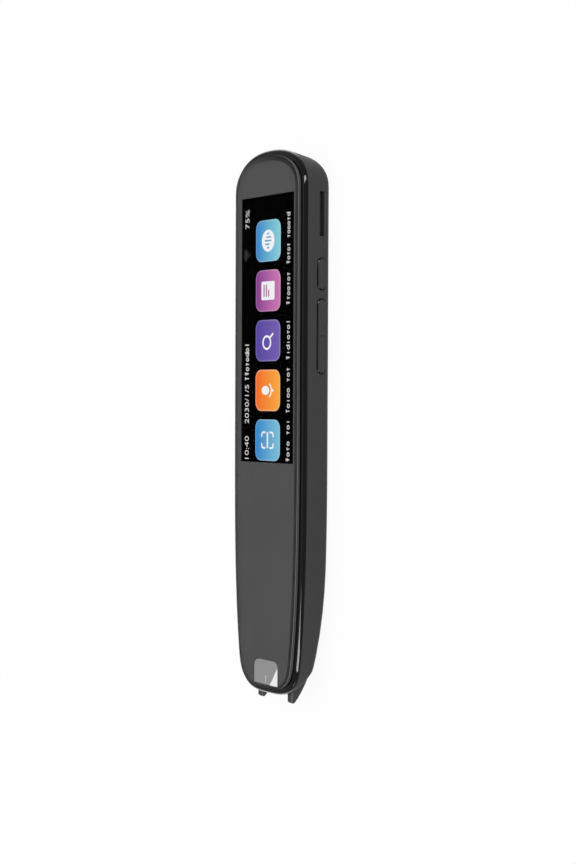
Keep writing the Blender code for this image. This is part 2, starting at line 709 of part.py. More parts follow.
def make_rear_case():
    case = bowl("rear_case", CASE_MARGIN, CASE_RIM, CASE_CORNER, rear_height, case_corner, REAR_DISH, CASE_PLASTIC)
    cavity = bowl("cavity", INNER_MARGIN, CASE_RIM + OVERRUN, CAVITY_CORNER, cavity_floor, cavity_corner)
    cut(case, cavity)
    root = FLOOR - ROOT
    for number, (x, y) in enumerate(boss_places(), 1):
        boss_root = rear_height(y) + WALL - ROOT
        top = TRAY_BACK - SEAT_GAP
        join(case, rod(f"boss_{number}", BOSS_RADIUS, (x, y, boss_root), (x, y, top)))
        pilot_end = TRAY_FRONT - LONG_SCREW - SLIDE_GAP
        cut(case, rod(f"pilot_{number}", pilot_radius(), (x, y, pilot_end), (x, y, top + OVERRUN)))
    for number, (x, y) in enumerate(board_hole_places(), 1):
        top = BOARD_BACK - SEAT_GAP
        join(case, rod(f"standoff_{number}", STANDOFF_RADIUS, (x, y, root), (x, y, top)))
        pilot_end = BOARD_FRONT - SHORT_SCREW - SLIDE_GAP
        cut(case, rod(f"board_pilot_{number}", pilot_radius(), (x, y, pilot_end), (x, y, top + OVERRUN)))
    fence = (root, FLOOR + FENCE_HEIGHT)
    for name, low in (
        ("low_fence", BATTERY_BOTTOM - SEAT_GAP - BATTERY_FENCE),
        ("high_fence", BATTERY_TOP + SEAT_GAP),
    ):
        join(case, box(name, (BATTERY_LEFT, BATTERY_RIGHT), (low, low + BATTERY_FENCE), fence))
    rib_y = (SPRING_BACK, SPRING_BACK + RIB_THICKNESS)
    rib_root = rear_height(rib_y[1]) + WALL - ROOT
    rib = box("spring_rib", about(-SIDE_SEAT, 2 * RIB_HALF_WIDTH), rib_y, (rib_root, FOOT_FRONT))
    post_start = (-SIDE_SEAT, SPRING_BACK + RIB_THICKNESS / 2, SPRING_AXIS)
    post_end = (-SIDE_SEAT, SPRING_BACK - POST_LENGTH, SPRING_AXIS)
    join(case, rib, rod("spring_post", POST_RADIUS, post_start, post_end, sides=SCREW_SIDES))
    stand_y = (TIP_SWITCH_FRONT, TIP_SWITCH_FRONT + TIP_SWITCH_LENGTH)
    stand_root = rear_height(stand_y[1]) + WALL - ROOT
    stand_top = FOOT_FRONT - LEG_DEPTH - SEAT_GAP
    join(case, box("switch_stand", about(SIDE_SEAT, 2 * TIP_SWITCH_HALF_WIDTH), stand_y, (stand_root, stand_top)))
    shelf_y = (CAMERA_FRONT + CAMERA_BORE, CAMERA_BACK - CAMERA_BORE)
    shelf_root = rear_height(shelf_y[1]) + WALL - ROOT
    shelf_x = about(0, 2 * (CAMERA_HALF_WIDTH - CAMERA_BORE))
    join(case, box("camera_shelf", shelf_x, shelf_y, (shelf_root, CAMERA_BOTTOM - SEAT_GAP)))
    pin_seat = rod("pin_seat", LUG_RADIUS, (PIN_X, ROCKER_CENTRE, root), (PIN_X, ROCKER_CENTRE, pin_seat_top()))
    join(case, pin_seat)
    pin_hole_start = (PIN_X, ROCKER_CENTRE, FLOOR)
    pin_hole_end = (PIN_X, ROCKER_CENTRE, pin_seat_top() + OVERRUN)
    cut(case, rod("pin_hole", PIN_RADIUS + PIVOT_GAP, pin_hole_start, pin_hole_end))
    outside = OUTER_SIDE + OVERRUN
    inside = INNER_SIDE - ROOT
    power_loop = key_pill(POWER_KEY_CENTRE, POWER_KEY_LENGTH, SLIDE_GAP)
    rocker_loop = key_pill(ROCKER_CENTRE, ROCKER_LENGTH, SLIDE_GAP)
    cut(case, plate("power_opening", [power_loop], inside, outside, facing="x"))
    cut(case, plate("rocker_opening", [rocker_loop], inside, outside, facing="x"))
    cut(case, box("speaker_slot", (inside, outside), about(SLOT_CENTRE, SLOT_LENGTH), about(SLOT_HEIGHT, SLOT_WIDTH)))
    end_wall = (INNER_END - END_LEAN - CAVITY_CORNER, OUTER_END + OVERRUN)
    shell = socket_outline(SLIDE_GAP)
    cut(case, plate("socket_opening", [shell], *end_wall, facing="y"))
    port = microphone_axis()
    cut(case, rod("microphone_port", MICROPHONE_PORT, (MICROPHONE_X, end_wall[0], port), (MICROPHONE_X, end_wall[1], port)))
    below = -OVERRUN
    mouth_y = (WINDOW_BOTTOM - SLIDE_GAP, WINDOW_TOP + SLIDE_GAP)
    cut(case, box("mouth", about(0, 2 * MOUTH_HALF_WIDTH), mouth_y, (below, CASE_RIM)))
    slot_y = (FOOT_TIP - OVERRUN, HEEL_END + NIB_TRAVEL + SLIDE_GAP)
    for name, side in (("left_foot_slot", -1), ("right_foot_slot", 1)):
        x = sorted((side * (FOOT_INNER - SLIDE_GAP), side * (FOOT_OUTER + SLIDE_GAP)))
        cut(case, box(name, x, slot_y, (below, FOOT_FRONT + SLIDE_GAP)))
    return case


def make_middle_frame():
    """The glossy band round the front, the ledge that the panel lies on and the tray behind the display."""

    def tray_back(y):
        return max(TRAY_BACK, cavity_floor(y) + NOSE_RELIEF)

    skirt = INNER_MARGIN - SLIDE_GAP
    rings = [ring(-LEDGE_WIDTH, TRAY_FRONT), ring(-LEDGE_WIDTH, FRAME_FACE)]
    for step in range(BAND_STEPS + 1):
        turn = math.pi / 2 * step / BAND_STEPS
        bulge = (CASE_MARGIN - BAND_CREST) * math.sin(turn)
        rings.append(ring(BAND_CREST + bulge, FRAME_FOOT + BAND_HEIGHT * math.cos(turn)))
    rings += [ring(skirt, FRAME_FOOT), ring((skirt, skirt - end_lean(TRAY_BACK), skirt), tray_back)]
    frame = loft("middle_frame", rings, GLOSS_PLASTIC)
    for number, (x, y) in enumerate(boss_places(), 1):
        ends = ((x, y, TRAY_BACK - OVERRUN), (x, y, TRAY_FRONT + OVERRUN))
        cut(frame, rod(f"screw_hole_{number}", pilot_radius() + BORE_GAP, *ends))
    through = (TRAY_BACK - OVERRUN, FRAME_FACE + OVERRUN)
    flex_y = (DISPLAY_BOTTOM - FLEX_PASSAGE_LENGTH, DISPLAY_BOTTOM - ROOT)
    flex_x = about(0, 2 * (SOCKET_HALF_WIDTH + FLEX_PASSAGE_MARGIN))
    cut(frame, box("flex_passage", flex_x, flex_y, through))
    shaft_y = (WINDOW_BOTTOM - SLIDE_GAP, WINDOW_TOP + SLIDE_GAP)
    shaft_x = about(0, 2 * MOUTH_HALF_WIDTH)
    cut(frame, box("sight_shaft", shaft_x, shaft_y, through))
    cut(frame, box("sight_pocket", about(0, 2 * WINDOW_HALF_WIDTH), shaft_y, (TRAY_FRONT, FRAME_FACE + OVERRUN)))
    return frame


def panel_loops():
    screen_x = about(0, SCREEN_WIDTH)
    screen_y = about(SCREEN_CENTRE, SCREEN_LENGTH)
    square = (False, False, False, False)
    screen = rounded_box(screen_x, screen_y, WINDOW_RADIUS, square)
    window_x = about(0, 2 * WINDOW_HALF_WIDTH)
    window_y = (WINDOW_BOTTOM, WINDOW_TOP)
    window = rounded_box(window_x, window_y, WINDOW_RADIUS, (True, False, False, True))
    return screen, window


def make_front():
    """The printed panel, the clear cover over it and the sight block that fills the window."""
    edge = [tuple(point) for point in outline(0)]
    plate("front_panel", [edge, *panel_loops()], PANEL_BACK, PANEL_FRONT, PANEL_PRINT)
    bevels = (-GLASS_BEVEL_SIDE, -GLASS_BEVEL_TOP, -GLASS_BEVEL_TIP)
    rings = [ring(bevels, GLASS_FRONT), ring(0, GLASS_FRONT - GLASS_BEVEL_DEPTH), ring(0, GLASS_BACK)]
    loft("cover_glass", rings, CLEAR_GLASS)
    top, bottom = WINDOW_TOP - SLIDE_GAP, WINDOW_BOTTOM + SLIDE_GAP
    nose_start = NOSE_LENGTH - OUTER_END
    slope = [(y, rear_height(y) + GUIDE_RECESS) for y in (bottom, nose_start, top)]
    head_back = TRAY_FRONT + SEAT_GAP
    throat = MOUTH_HALF_WIDTH - SLIDE_GAP
    throat_front = head_back + ROOT
    throat_loop = [*slope, (top, throat_front), (bottom, throat_front)]
    block = plate("sight_block", [throat_loop], -throat, throat, CLEAR_PLASTIC, facing="x")
    head = WINDOW_HALF_WIDTH - SLIDE_GAP
    corners = (True, False, False, True)
    head_loop = rounded_box((-head, head), (bottom, top), WINDOW_RADIUS, corners)
    join(block, plate("sight_head", [head_loop], head_back, PANEL_FRONT))
    return block


def make_display():
    side = (-DISPLAY_SIDE, DISPLAY_SIDE)
    display = box("display_module", side, (DISPLAY_BOTTOM, DISPLAY_TOP), (DISPLAY_BACK, FRAME_FACE), SCREEN_BLACK)
    foam_x = (FOAM_INSET - DISPLAY_SIDE, DISPLAY_SIDE - FOAM_INSET)
    foam_y = (DISPLAY_BOTTOM + FOAM_INSET, DISPLAY_TOP - FOAM_INSET)
    box("display_foam", foam_x, foam_y, (TRAY_FRONT + SEAT_GAP, DISPLAY_BACK - SEAT_GAP), FOAM_BLACK)
    make_display_flex()
    return display


def make_display_flex():
    """The display's flexible circuit: down through the tray, back under it and down to its socket."""
    high = DISPLAY_BACK + DISPLAY_THICKNESS / 3
    under_tray = TRAY_BACK - REST_GAP
    low = PARTS_BACK + SOCKET_HEIGHT / 2
    drop = DISPLAY_BOTTOM - FLEX_PASSAGE_LENGTH / 2
    slope_end = SOCKET_BOTTOM - FLEX_BEND
    path = [
        (DISPLAY_BOTTOM - SEAT_GAP, high),
        (drop + FLEX_BEND, high),
        (drop, high - FLEX_BEND),
        (drop, under_tray + FLEX_BEND),
        (drop + FLEX_BEND, under_tray),
        (slope_end - (under_tray - low), under_tray),
        (slope_end, low),
        (SOCKET_BOTTOM - SEAT_GAP, low),
    ]
    ribbon("display_flex", path, about(0, 2 * SOCKET_HALF_WIDTH - SOCKET_HEIGHT), FLEX_AMBER)


def foot_profile():
    """One skid with its leg, as (y, z): a curved runner that meets the paper, and the leg up inside the case."""
    nose_z = FOOT_FRONT - FOOT_NOSE
    points = [(CARRIAGE_END, FOOT_FRONT), (FOOT_TIP + FOOT_NOSE / 2, FOOT_FRONT), (FOOT_TIP, FOOT_FRONT - FOOT_NOSE / 2)]
    for step in range(SKID_STEPS + 1):
        turn = math.pi / 2 * (1 - step / SKID_STEPS)
        y = SKID_START - SKID_LENGTH * math.sin(turn) ** (2 / SKID_POWER)
        points.append((y, nose_z - (nose_z - SKID_LOW) * math.cos(turn) ** (2 / SKID_POWER)))
    leg_back = FOOT_FRONT - LEG_DEPTH
    points += [
        (HEEL_END - HEEL_LENGTH / 2, SKID_LOW),
        (HEEL_END, SKID_LOW + HEEL_RISE),
        (HEEL_END, leg_back),
        (CARRIAGE_END, leg_back),
    ]
    return points


def make_nib():
    """The carriage with its two skids, its spring, and the switch that it presses."""
    profile = foot_profile()
    carriage = plate("nib_carriage", [profile], FOOT_INNER, FOOT_OUTER, NIB_PLASTIC, facing="x")
    left = plate("left_skid", [profile], -FOOT_OUTER, -FOOT_INNER, facing="x")
    yoke_y = (CARRIAGE_END - YOKE_LENGTH, CARRIAGE_END)
    middle = (FOOT_INNER + FOOT_OUTER) / 2
    yoke = box("yoke", (-middle, middle), yoke_y, (FOOT_FRONT - YOKE_THICKNESS, FOOT_FRONT))
    join(carriage, left, yoke)
    arm_y = (ARM_BACK - ARM_LENGTH, ARM_BACK)
    arm_z = (FOOT_FRONT - LEG_DEPTH, FOOT_FRONT)
    for name, side in (("left_arm", -1), ("right_arm", 1)):
        x = sorted((side * middle, side * (FOOT_OUTER + ARM_REACH)))
        join(carriage, box(name, x, arm_y, arm_z))
    put_origin(carriage, 0, CARRIAGE_END, SPRING_AXIS)
    make_spring()
    switch_x = about(SIDE_SEAT, 2 * TIP_SWITCH_HALF_WIDTH)
    switch_y = (TIP_SWITCH_FRONT, TIP_SWITCH_FRONT + TIP_SWITCH_LENGTH)
    switch = box("tip_switch", switch_x, switch_y, arm_z, CHIP_BLACK)
    bore_end = (SIDE_SEAT, TIP_SWITCH_FRONT + TIP_BORE_DEPTH, SPRING_AXIS)
    bore_start = (SIDE_SEAT, TIP_SWITCH_FRONT - OVERRUN, SPRING_AXIS)
    cut(switch, rod("tip_switch_bore", PLUNGER_RADIUS + BORE_GAP, bore_start, bore_end))
    start = ARM_BACK + BORE_GAP
    ends = ((SIDE_SEAT, start, SPRING_AXIS), (SIDE_SEAT, start + TIP_PLUNGER_LENGTH, SPRING_AXIS))
    plunger = rod("tip_switch_plunger", PLUNGER_RADIUS, *ends, LAMP_WHITE)
    put_origin(plunger, SIDE_SEAT, start, SPRING_AXIS)


def make_spring():
    """A return spring between the carriage's left arm and the rib, round the post."""
    curve = bpy.data.curves.new("nib_spring", "CURVE")
    curve.dimensions = "3D"
    curve.bevel_depth = SPRING_WIRE
    curve.bevel_resolution = 1
    curve.use_fill_caps = True
    spline = curve.splines.new("POLY")
    count = SPRING_TURNS * SPRING_POINTS
    spline.points.add(count)
    seat = SPRING_WIRE + BORE_GAP
    run = SPRING_LENGTH - 2 * seat
    for step, point in enumerate(spline.points):
        turn = 2 * math.pi * step / SPRING_POINTS
        x = SPRING_RADIUS * math.cos(turn) - SIDE_SEAT
        point.co = (x, ARM_BACK + seat + run * step / count, SPRING_AXIS + SPRING_RADIUS * math.sin(turn), 1)
    return mesh_of_curve(bpy.data.objects.new("nib_spring", curve), "nib_spring", STEEL)


def make_camera():
    """The scanning camera that looks down the pen at the mouth, its lamps and its board."""
    camera_y = (CAMERA_FRONT, CAMERA_BACK)
    camera_z = (CAMERA_BOTTOM, CAMERA_TOP)
    housing = box("camera_housing", about(0, 2 * CAMERA_HALF_WIDTH), camera_y, camera_z, CHIP_BLACK)
    bore = ((0, CAMERA_FRONT - OVERRUN, CAMERA_AXIS), (0, CAMERA_FRONT + CAMERA_BORE_DEPTH, CAMERA_AXIS))
    cut(housing, rod("camera_bore", CAMERA_BORE, *bore))
    radius = CAMERA_BORE - BORE_GAP
    edge = LENS_THICKNESS - LENS_CROWN
    profile = [(0, LENS_THICKNESS), (radius / 2, LENS_THICKNESS - LENS_CROWN / 4), (radius, edge), (radius, 0), (0, 0)]
    lens = turned("camera_lens", profile, CLEAR_GLASS)
    lens.rotation_euler = (math.pi / 2, 0, 0)
    lens.location = (0, CAMERA_FRONT + LENS_INSET + LENS_THICKNESS, CAMERA_AXIS)
    board_y = CAMERA_BACK + SLIDE_GAP
    board_z = (CAMERA_AXIS - SENSOR_BOARD_HEIGHT / 2, CAMERA_AXIS + SENSOR_BOARD_HEIGHT / 2)
    board_x = about(0, 2 * SENSOR_BOARD_HALF_WIDTH)
    box("camera_board", board_x, (board_y, board_y + SENSOR_BOARD_THICKNESS), board_z, BOARD_GREEN)
    for name, side in (("left_lamp", -1), ("right_lamp", 1)):
        inner = CAMERA_HALF_WIDTH + SLIDE_GAP
        x = sorted((side * inner, side * (inner + LAMP_WIDTH)))
        lamp = box(name, x, (CAMERA_FRONT, CAMERA_FRONT + LAMP_LENGTH), about(CAMERA_AXIS, LAMP_HEIGHT), LAMP_WHITE)
        bevel(lamp, LAMP_HEIGHT / 8)
    high = CAMERA_AXIS + CAMERA_HEIGHT / 2
    low = PARTS_BACK + RIBBON_THICKNESS
    start = board_y + SENSOR_BOARD_THICKNESS + SEAT_GAP
    bend = CAN_INSET / 2
    path = [
        (start, high),
        (BOARD_BOTTOM - 2 * bend, high),
        (BOARD_BOTTOM - bend, (high + low) / 2),
        (BOARD_BOTTOM, low),
        (CAN_BOTTOM - REST_GAP, low),
    ]
    ribbon("camera_flex", path, about(0, 2 * (CAMERA_HALF_WIDTH - CAMERA_BORE)), FLEX_AMBER)


def make_main_board():
    board_x = about(0, 2 * BOARD_HALF_WIDTH)
    board = box("main_board", board_x, (BOARD_BOTTOM, BOARD_TOP), (BOARD_BACK, BOARD_FRONT), BOARD_GREEN)
    for number, (x, y) in enumerate(board_hole_places(), 1):
        ends = ((x, y, BOARD_BACK - OVERRUN), (x, y, BOARD_FRONT + OVERRUN))
        cut(board, rod(f"board_hole_{number}", pilot_radius(), *ends, sides=SCREW_SIDES))
    can_y = (CAN_BOTTOM, CAN_TOP)
    can_z = (PARTS_BACK, PARTS_BACK + CAN_HEIGHT)
    can = box("shield_can", about(0, 2 * CAN_HALF_WIDTH), can_y, can_z, STEEL)
    hollow_x = about(0, 2 * (CAN_HALF_WIDTH - CAN_WALL))
    hollow_y = (CAN_BOTTOM + CAN_WALL, CAN_TOP - CAN_WALL)
    cut(can, box("can_hollow", hollow_x, hollow_y, (PARTS_BACK - OVERRUN, PARTS_BACK + CAN_HEIGHT - CAN_WALL)))
    chip_z = (PARTS_BACK, PARTS_BACK + CHIP_HEIGHT)
    can_middle = (CAN_BOTTOM + CAN_TOP) / 2
    processor_x = CAN_WALL + CHIP_SPACING - CAN_HALF_WIDTH
    memory_x = processor_x + PROCESSOR_SIZE + CHIP_SPACING
    processor_y = about(can_middle, PROCESSOR_SIZE)
    box("processor", (processor_x, processor_x + PROCESSOR_SIZE), processor_y, chip_z, CHIP_BLACK)
    memory_y = about(can_middle, MEMORY_LENGTH)
    box("memory_chip", (memory_x, memory_x + MEMORY_WIDTH), memory_y, chip_z, CHIP_BLACK)
    socket_x = about(0, 2 * SOCKET_HALF_WIDTH)
    socket_z = (PARTS_BACK, PARTS_BACK + SOCKET_HEIGHT)
    box("display_socket", socket_x, (SOCKET_BOTTOM, SOCKET_TOP), socket_z, CHIP_BLACK)
    power_x = (SOCKET_HALF_WIDTH, SOCKET_HALF_WIDTH + POWER_CHIP_SIZE)
    power_y = about((CAN_TOP + SOCKET_BOTTOM) / 2, POWER_CHIP_SIZE)
    box("power_chip", power_x, power_y, chip_z, CHIP_BLACK)


def make_battery():
    cell_x = (BATTERY_LEFT, BATTERY_RIGHT)
    cell_z = (BATTERY_BACK, BATTERY_BACK + BATTERY_THICKNESS)
    bevel(box("battery", cell_x, (BATTERY_BOTTOM, BATTERY_TOP), cell_z, CELL_SILVER), BATTERY_ROUNDING)
    socket_y = (SOCKET_TOP - BATTERY_SOCKET_LENGTH, SOCKET_TOP)
    socket_z = (PARTS_BACK, PARTS_BACK + SOCKET_HEIGHT)
    box("battery_socket", about(LEAD_X, LEAD_WIDTH), socket_y, socket_z, CHIP_BLACK)
    height = PARTS_BACK + SOCKET_HEIGHT / 2
    path = [(BATTERY_BOTTOM - SEAT_GAP, height), (SOCKET_TOP + SEAT_GAP, height)]
    ribbon("battery_lead", path, about(LEAD_X, LEAD_WIDTH - SOCKET_HEIGHT), FLEX_AMBER)


def screw(name, x, y, seat, length):
    """A low cheese-head screw with a round recess, on its own Z axis from its seat down."""
    top = SCREW_HEAD_HEIGHT + SEAT_GAP
    floor = top - SCREW_RECESS
    profile = [
        (0, floor),
        (SCREW_DRIVE_RADIUS, floor),
        (SCREW_DRIVE_RADIUS, top),
        (SCREW_HEAD_RADIUS, top),
        (SCREW_HEAD_RADIUS, SEAT_GAP),
        (SCREW_RADIUS, SEAT_GAP),
        (SCREW_RADIUS, SCREW_RADIUS - length),
        (0, -length),
    ]
    obj = turned(name, profile, STEEL, SCREW_SIDES)
    obj.location = (x, y, seat)
    return obj


def make_screws():
    for number, (x, y) in enumerate(boss_places(), 1):
        screw(f"case_screw_{number}", x, y, TRAY_FRONT, LONG_SCREW)
    for number, (x, y) in enumerate(board_hole_places(), 1):
        screw(f"board_screw_{number}", x, y, BOARD_FRONT, SHORT_SCREW)


def key_cap(name, centre, length, flange_front):
    """A key's pill-shaped cap with an eased outer edge, and the flange that keeps it in the case."""
    outer = OUTER_SIDE + KEY_PROUD
    levels = (
        (0, flange_front - FLANGE_THICKNESS / 2),
        (0, outer - KEY_ROUNDING),
        (-KEY_ROUNDING / 3, outer - KEY_ROUNDING / 3),
        (-KEY_ROUNDING, outer),
    )
    rings = [[(x, y, z) for y, z in key_pill(centre, length, grow)] for grow, x in levels]
    cap = tower(name, rings, KEY_PLASTIC)
    half = length / 2 + FLANGE_REACH
    depth = (flange_front - FLANGE_THICKNESS, flange_front)
    flange = box(f"{name}_flange", depth, (centre - half, centre + half), about(KEY_HEIGHT, LUG_HEIGHT))
    return join(cap, flange)


def tower(name, rings, finish=None):
    """A closed solid through flat rings, with one face over each end."""
    shape = bmesh.new()
    rows = [[shape.verts.new(point) for point in points] for points in rings]
    for lower, upper in zip(rows, rows[1:]):
        for i in range(len(lower)):
            after = (i + 1) % len(lower)
            shape.faces.new((lower[i], lower[after], upper[after], upper[i]))
    shape.faces.new(rows[0])
    shape.faces.new(rows[-1])
    return object_of(name, shape, finish)


def side_switch(name, y, back_of_key):
    """A push switch on the strip board, and the plunger that its key rests on."""
    x = (SWITCH_BACK, SWITCH_FRONT)
    housing = box(f"{name}_switch", x, about(y, SWITCH_LENGTH), about(KEY_HEIGHT, SWITCH_WIDTH), CHIP_BLACK)
    bore_ends = ((SWITCH_FRONT - SWITCH_BORE_DEPTH, y, KEY_HEIGHT), (SWITCH_FRONT + OVERRUN, y, KEY_HEIGHT))
    cut(housing, rod(f"{name}_bore", PLUNGER_RADIUS + BORE_GAP, *bore_ends))
    outer = back_of_key - SEAT_GAP
    ends = ((SWITCH_FRONT - PLUNGER_LENGTH + PLUNGER_SHOWS, y, KEY_HEIGHT), (outer, y, KEY_HEIGHT))
    plunger = rod(f"{name}_plunger", PLUNGER_RADIUS, *ends, LAMP_WHITE)
    return put_origin(plunger, outer, y, KEY_HEIGHT)


def make_power_key():
    key = key_cap("power_key", POWER_KEY_CENTRE, POWER_KEY_LENGTH, KEY_FLANGE_FRONT)
    side_switch("power", POWER_KEY_CENTRE, KEY_FLANGE_FRONT - FLANGE_THICKNESS)
    put_origin(key, OUTER_SIDE, POWER_KEY_CENTRE, KEY_HEIGHT)


def pin_seat_top():
    return KEY_HEIGHT - KEY_WIDTH / 2 - SLIDE_GAP


def make_volume_rocker():
    """The rocker turns on a pin behind its middle, and its ends rest on two sprung plungers."""
    key = key_cap("volume_rocker", ROCKER_CENTRE, ROCKER_LENGTH, ROCKER_FLANGE_FRONT)
    lug_z = about(KEY_HEIGHT, LUG_HEIGHT)
    lug_front = ROCKER_FLANGE_FRONT - ROOT
    lug = box("rocker_lug", (PIN_X, lug_front), about(ROCKER_CENTRE, 2 * LUG_RADIUS), lug_z)
    eye = rod("rocker_eye", LUG_RADIUS, (PIN_X, ROCKER_CENTRE, lug_z[0]), (PIN_X, ROCKER_CENTRE, lug_z[1]))
    join(key, lug, eye)
    hole = ((PIN_X, ROCKER_CENTRE, lug_z[0] - OVERRUN), (PIN_X, ROCKER_CENTRE, lug_z[1] + OVERRUN))
    cut(key, rod("rocker_bore", PIN_RADIUS + PIVOT_GAP, *hole))
    mark_x = (OUTER_SIDE + KEY_PROUD - ROCKER_MARK_DEPTH, OUTER_SIDE + KEY_PROUD + OVERRUN)
    mark_z = about(KEY_HEIGHT, KEY_WIDTH + OVERRUN)
    cut(key, box("rocker_mark", mark_x, about(ROCKER_CENTRE, ROCKER_MARK_WIDTH), mark_z))
    put_origin(key, PIN_X, ROCKER_CENTRE, KEY_HEIGHT)
    for name, side in (("volume_up", 1), ("volume_down", -1)):
        side_switch(name, ROCKER_CENTRE + side * ROCKER_SWITCH_SPACING, ROCKER_BACK)
    cradle_back = KEY_HEIGHT + KEY_WIDTH / 2 + SLIDE_GAP
    cradle_z = (cradle_back, cradle_back + CRADLE_THICKNESS)
    cradle_x = (KEY_BOARD_FRONT + SEAT_GAP, PIN_X + LUG_RADIUS)
    cradle = box("rocker_cradle", cradle_x, about(ROCKER_CENTRE, 2 * LUG_RADIUS), cradle_z, STEEL)
    cradle_hole = ((PIN_X, ROCKER_CENTRE, cradle_back - OVERRUN), (PIN_X, ROCKER_CENTRE, cradle_z[1] + OVERRUN))
    cut(cradle, rod("cradle_hole", PIN_RADIUS + PIVOT_GAP, *cradle_hole))
    pin_ends = ((PIN_X, ROCKER_CENTRE, FLOOR + SEAT_GAP), (PIN_X, ROCKER_CENTRE, cradle_z[1]))
    rod("rocker_pin", PIN_RADIUS, *pin_ends, STEEL)


def make_key_board():
    """The strip board that carries the three switches, and the steel strip that backs it."""
    length = about(KEY_BOARD_CENTRE, KEY_BOARD_LENGTH)
    height = (KEY_BOARD_FOOT, KEY_BOARD_FOOT + KEY_BOARD_HEIGHT)
    box("key_board", (KEY_BOARD_BACK, KEY_BOARD_FRONT), length, height, BOARD_GREEN)
    front = KEY_BOARD_BACK - SEAT_GAP
    box("key_stiffener", (front - STIFFENER_THICKNESS, front), length, height, STEEL)


def make_speaker():
    slot_y = about(SLOT_CENTRE, SLOT_LENGTH + 2 * MESH_OVERLAP)
    mesh_z = about(SLOT_HEIGHT, SLOT_WIDTH + 2 * MESH_OVERLAP)
    box("speaker_mesh", (MESH_FRONT - MESH_THICKNESS, MESH_FRONT), slot_y, mesh_z, MESH_BLACK)
    speaker_x = (SPEAKER_FRONT - SPEAKER_WIDTH, SPEAKER_FRONT)
    speaker_z = (FLOOR + REST_GAP, FLOOR + REST_GAP + SPEAKER_THICKNESS)
    speaker = box("speaker", speaker_x, about(SLOT_CENTRE, SPEAKER_LENGTH), speaker_z, CHIP_BLACK)
    bevel(speaker, SPEAKER_ROUNDING, 1)


def socket_outline(grow):
    centre = (0, SOCKET_SHELL_AXIS)
    return pill(centre, SOCKET_SHELL_WIDTH + 2 * grow, SOCKET_SHELL_HEIGHT + 2 * grow)


def microphone_axis():
    return TOP_BOARD_FRONT + SEAT_GAP + MICROPHONE_HEIGHT / 2


def make_charging_end():
    back = SOCKET_SHELL_FRONT - SOCKET_SHELL_LENGTH
    shell = plate("charging_socket", [socket_outline(0)], back, SOCKET_SHELL_FRONT, STEEL, facing="y")
    hollow_y = (back + SOCKET_SHELL_BACK, SOCKET_SHELL_FRONT + OVERRUN)
    cut(shell, plate("socket_hollow", [socket_outline(-SOCKET_SHELL_WALL)], *hollow_y, facing="y"))
    tongue_y = (back + SOCKET_SHELL_BACK + SLIDE_GAP, SOCKET_SHELL_FRONT - TONGUE_SET_BACK)
    tongue_z = about(SOCKET_SHELL_AXIS, TONGUE_THICKNESS)
    box("socket_tongue", about(0, TONGUE_WIDTH), tongue_y, tongue_z, CHIP_BLACK)
    board_top = INNER_END - TOP_BOARD_SET_BACK
    step = SLOT_CENTRE + SPEAKER_LENGTH / 2 + REST_GAP
    board_bottom = BATTERY_TOP + BATTERY_FENCE + REST_GAP
    inner = SPEAKER_FRONT - SPEAKER_WIDTH - REST_GAP
    boss_clear = INNER_END - TOP_BOSS_INSET - BOSS_RADIUS - REST_GAP
    corners = [
        (-TOP_BOARD_HALF_WIDTH, board_top),
        (TOP_BOARD_HALF_WIDTH, board_top),
        (TOP_BOARD_HALF_WIDTH, step),
        (inner, step),
        (inner, board_bottom),
        (TOP_BOARD_LEFT, board_bottom),
        (TOP_BOARD_LEFT, boss_clear),
        (-TOP_BOARD_HALF_WIDTH, boss_clear),
    ]
    plate("top_board", [corners], TOP_BOARD_BACK, TOP_BOARD_FRONT, BOARD_GREEN)
    centre = board_top - MICROPHONE_SIZE / 2
    height = about(microphone_axis(), MICROPHONE_HEIGHT)
    box("microphone", about(MICROPHONE_X, MICROPHONE_SIZE), about(centre, MICROPHONE_SIZE), height, STEEL)


def make_antenna():
    left = SLIDE_GAP - INNER_SIDE
    x = (left, left + ANTENNA_THICKNESS)
    foot = FLOOR + ANTENNA_FOOT
    y = about((BATTERY_BOTTOM + BATTERY_TOP) / 2, ANTENNA_LENGTH)
    box("antenna", x, y, (foot, foot + ANTENNA_HEIGHT), FLEX_AMBER)


def shade():
    """Shades round walls smooth and keeps their edges sharp."""
    for obj in bpy.data.collections["scanning_pen"].objects:
        obj.data.shade_smooth()
        obj.data.set_sharp_from_angle(angle=SHARP_ANGLE)


def gather():
    """Hangs every part from one empty at the origin."""
    centre = bpy.data.objects.new("pen_centre", None)
    bpy.data.collections["scanning_pen"].objects.link(centre)
    for obj in bpy.data.collections["scanning_pen"].objects:
        if obj != centre:
            obj.parent = centre


def main():
    clear_scene()
    make_rear_case()
    make_middle_frame()
    make_front()
    make_display()
    make_nib()
    make_camera()
    make_main_board()
    make_battery()
    make_screws()
    make_power_key()
    make_volume_rocker()
    make_key_board()
    make_speaker()
    make_charging_end()
    make_antenna()
    shade()
    gather()


main()
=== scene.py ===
"""Dresses the scanning pen's frame for a picture: finishes, the lit menu, the lamps and the camera.
In metres, +Z out of the screen, +Y to the charging end, +X to the side with the keys."""

import json
import math

import bmesh
import bpy
from mathutils import Matrix, Vector

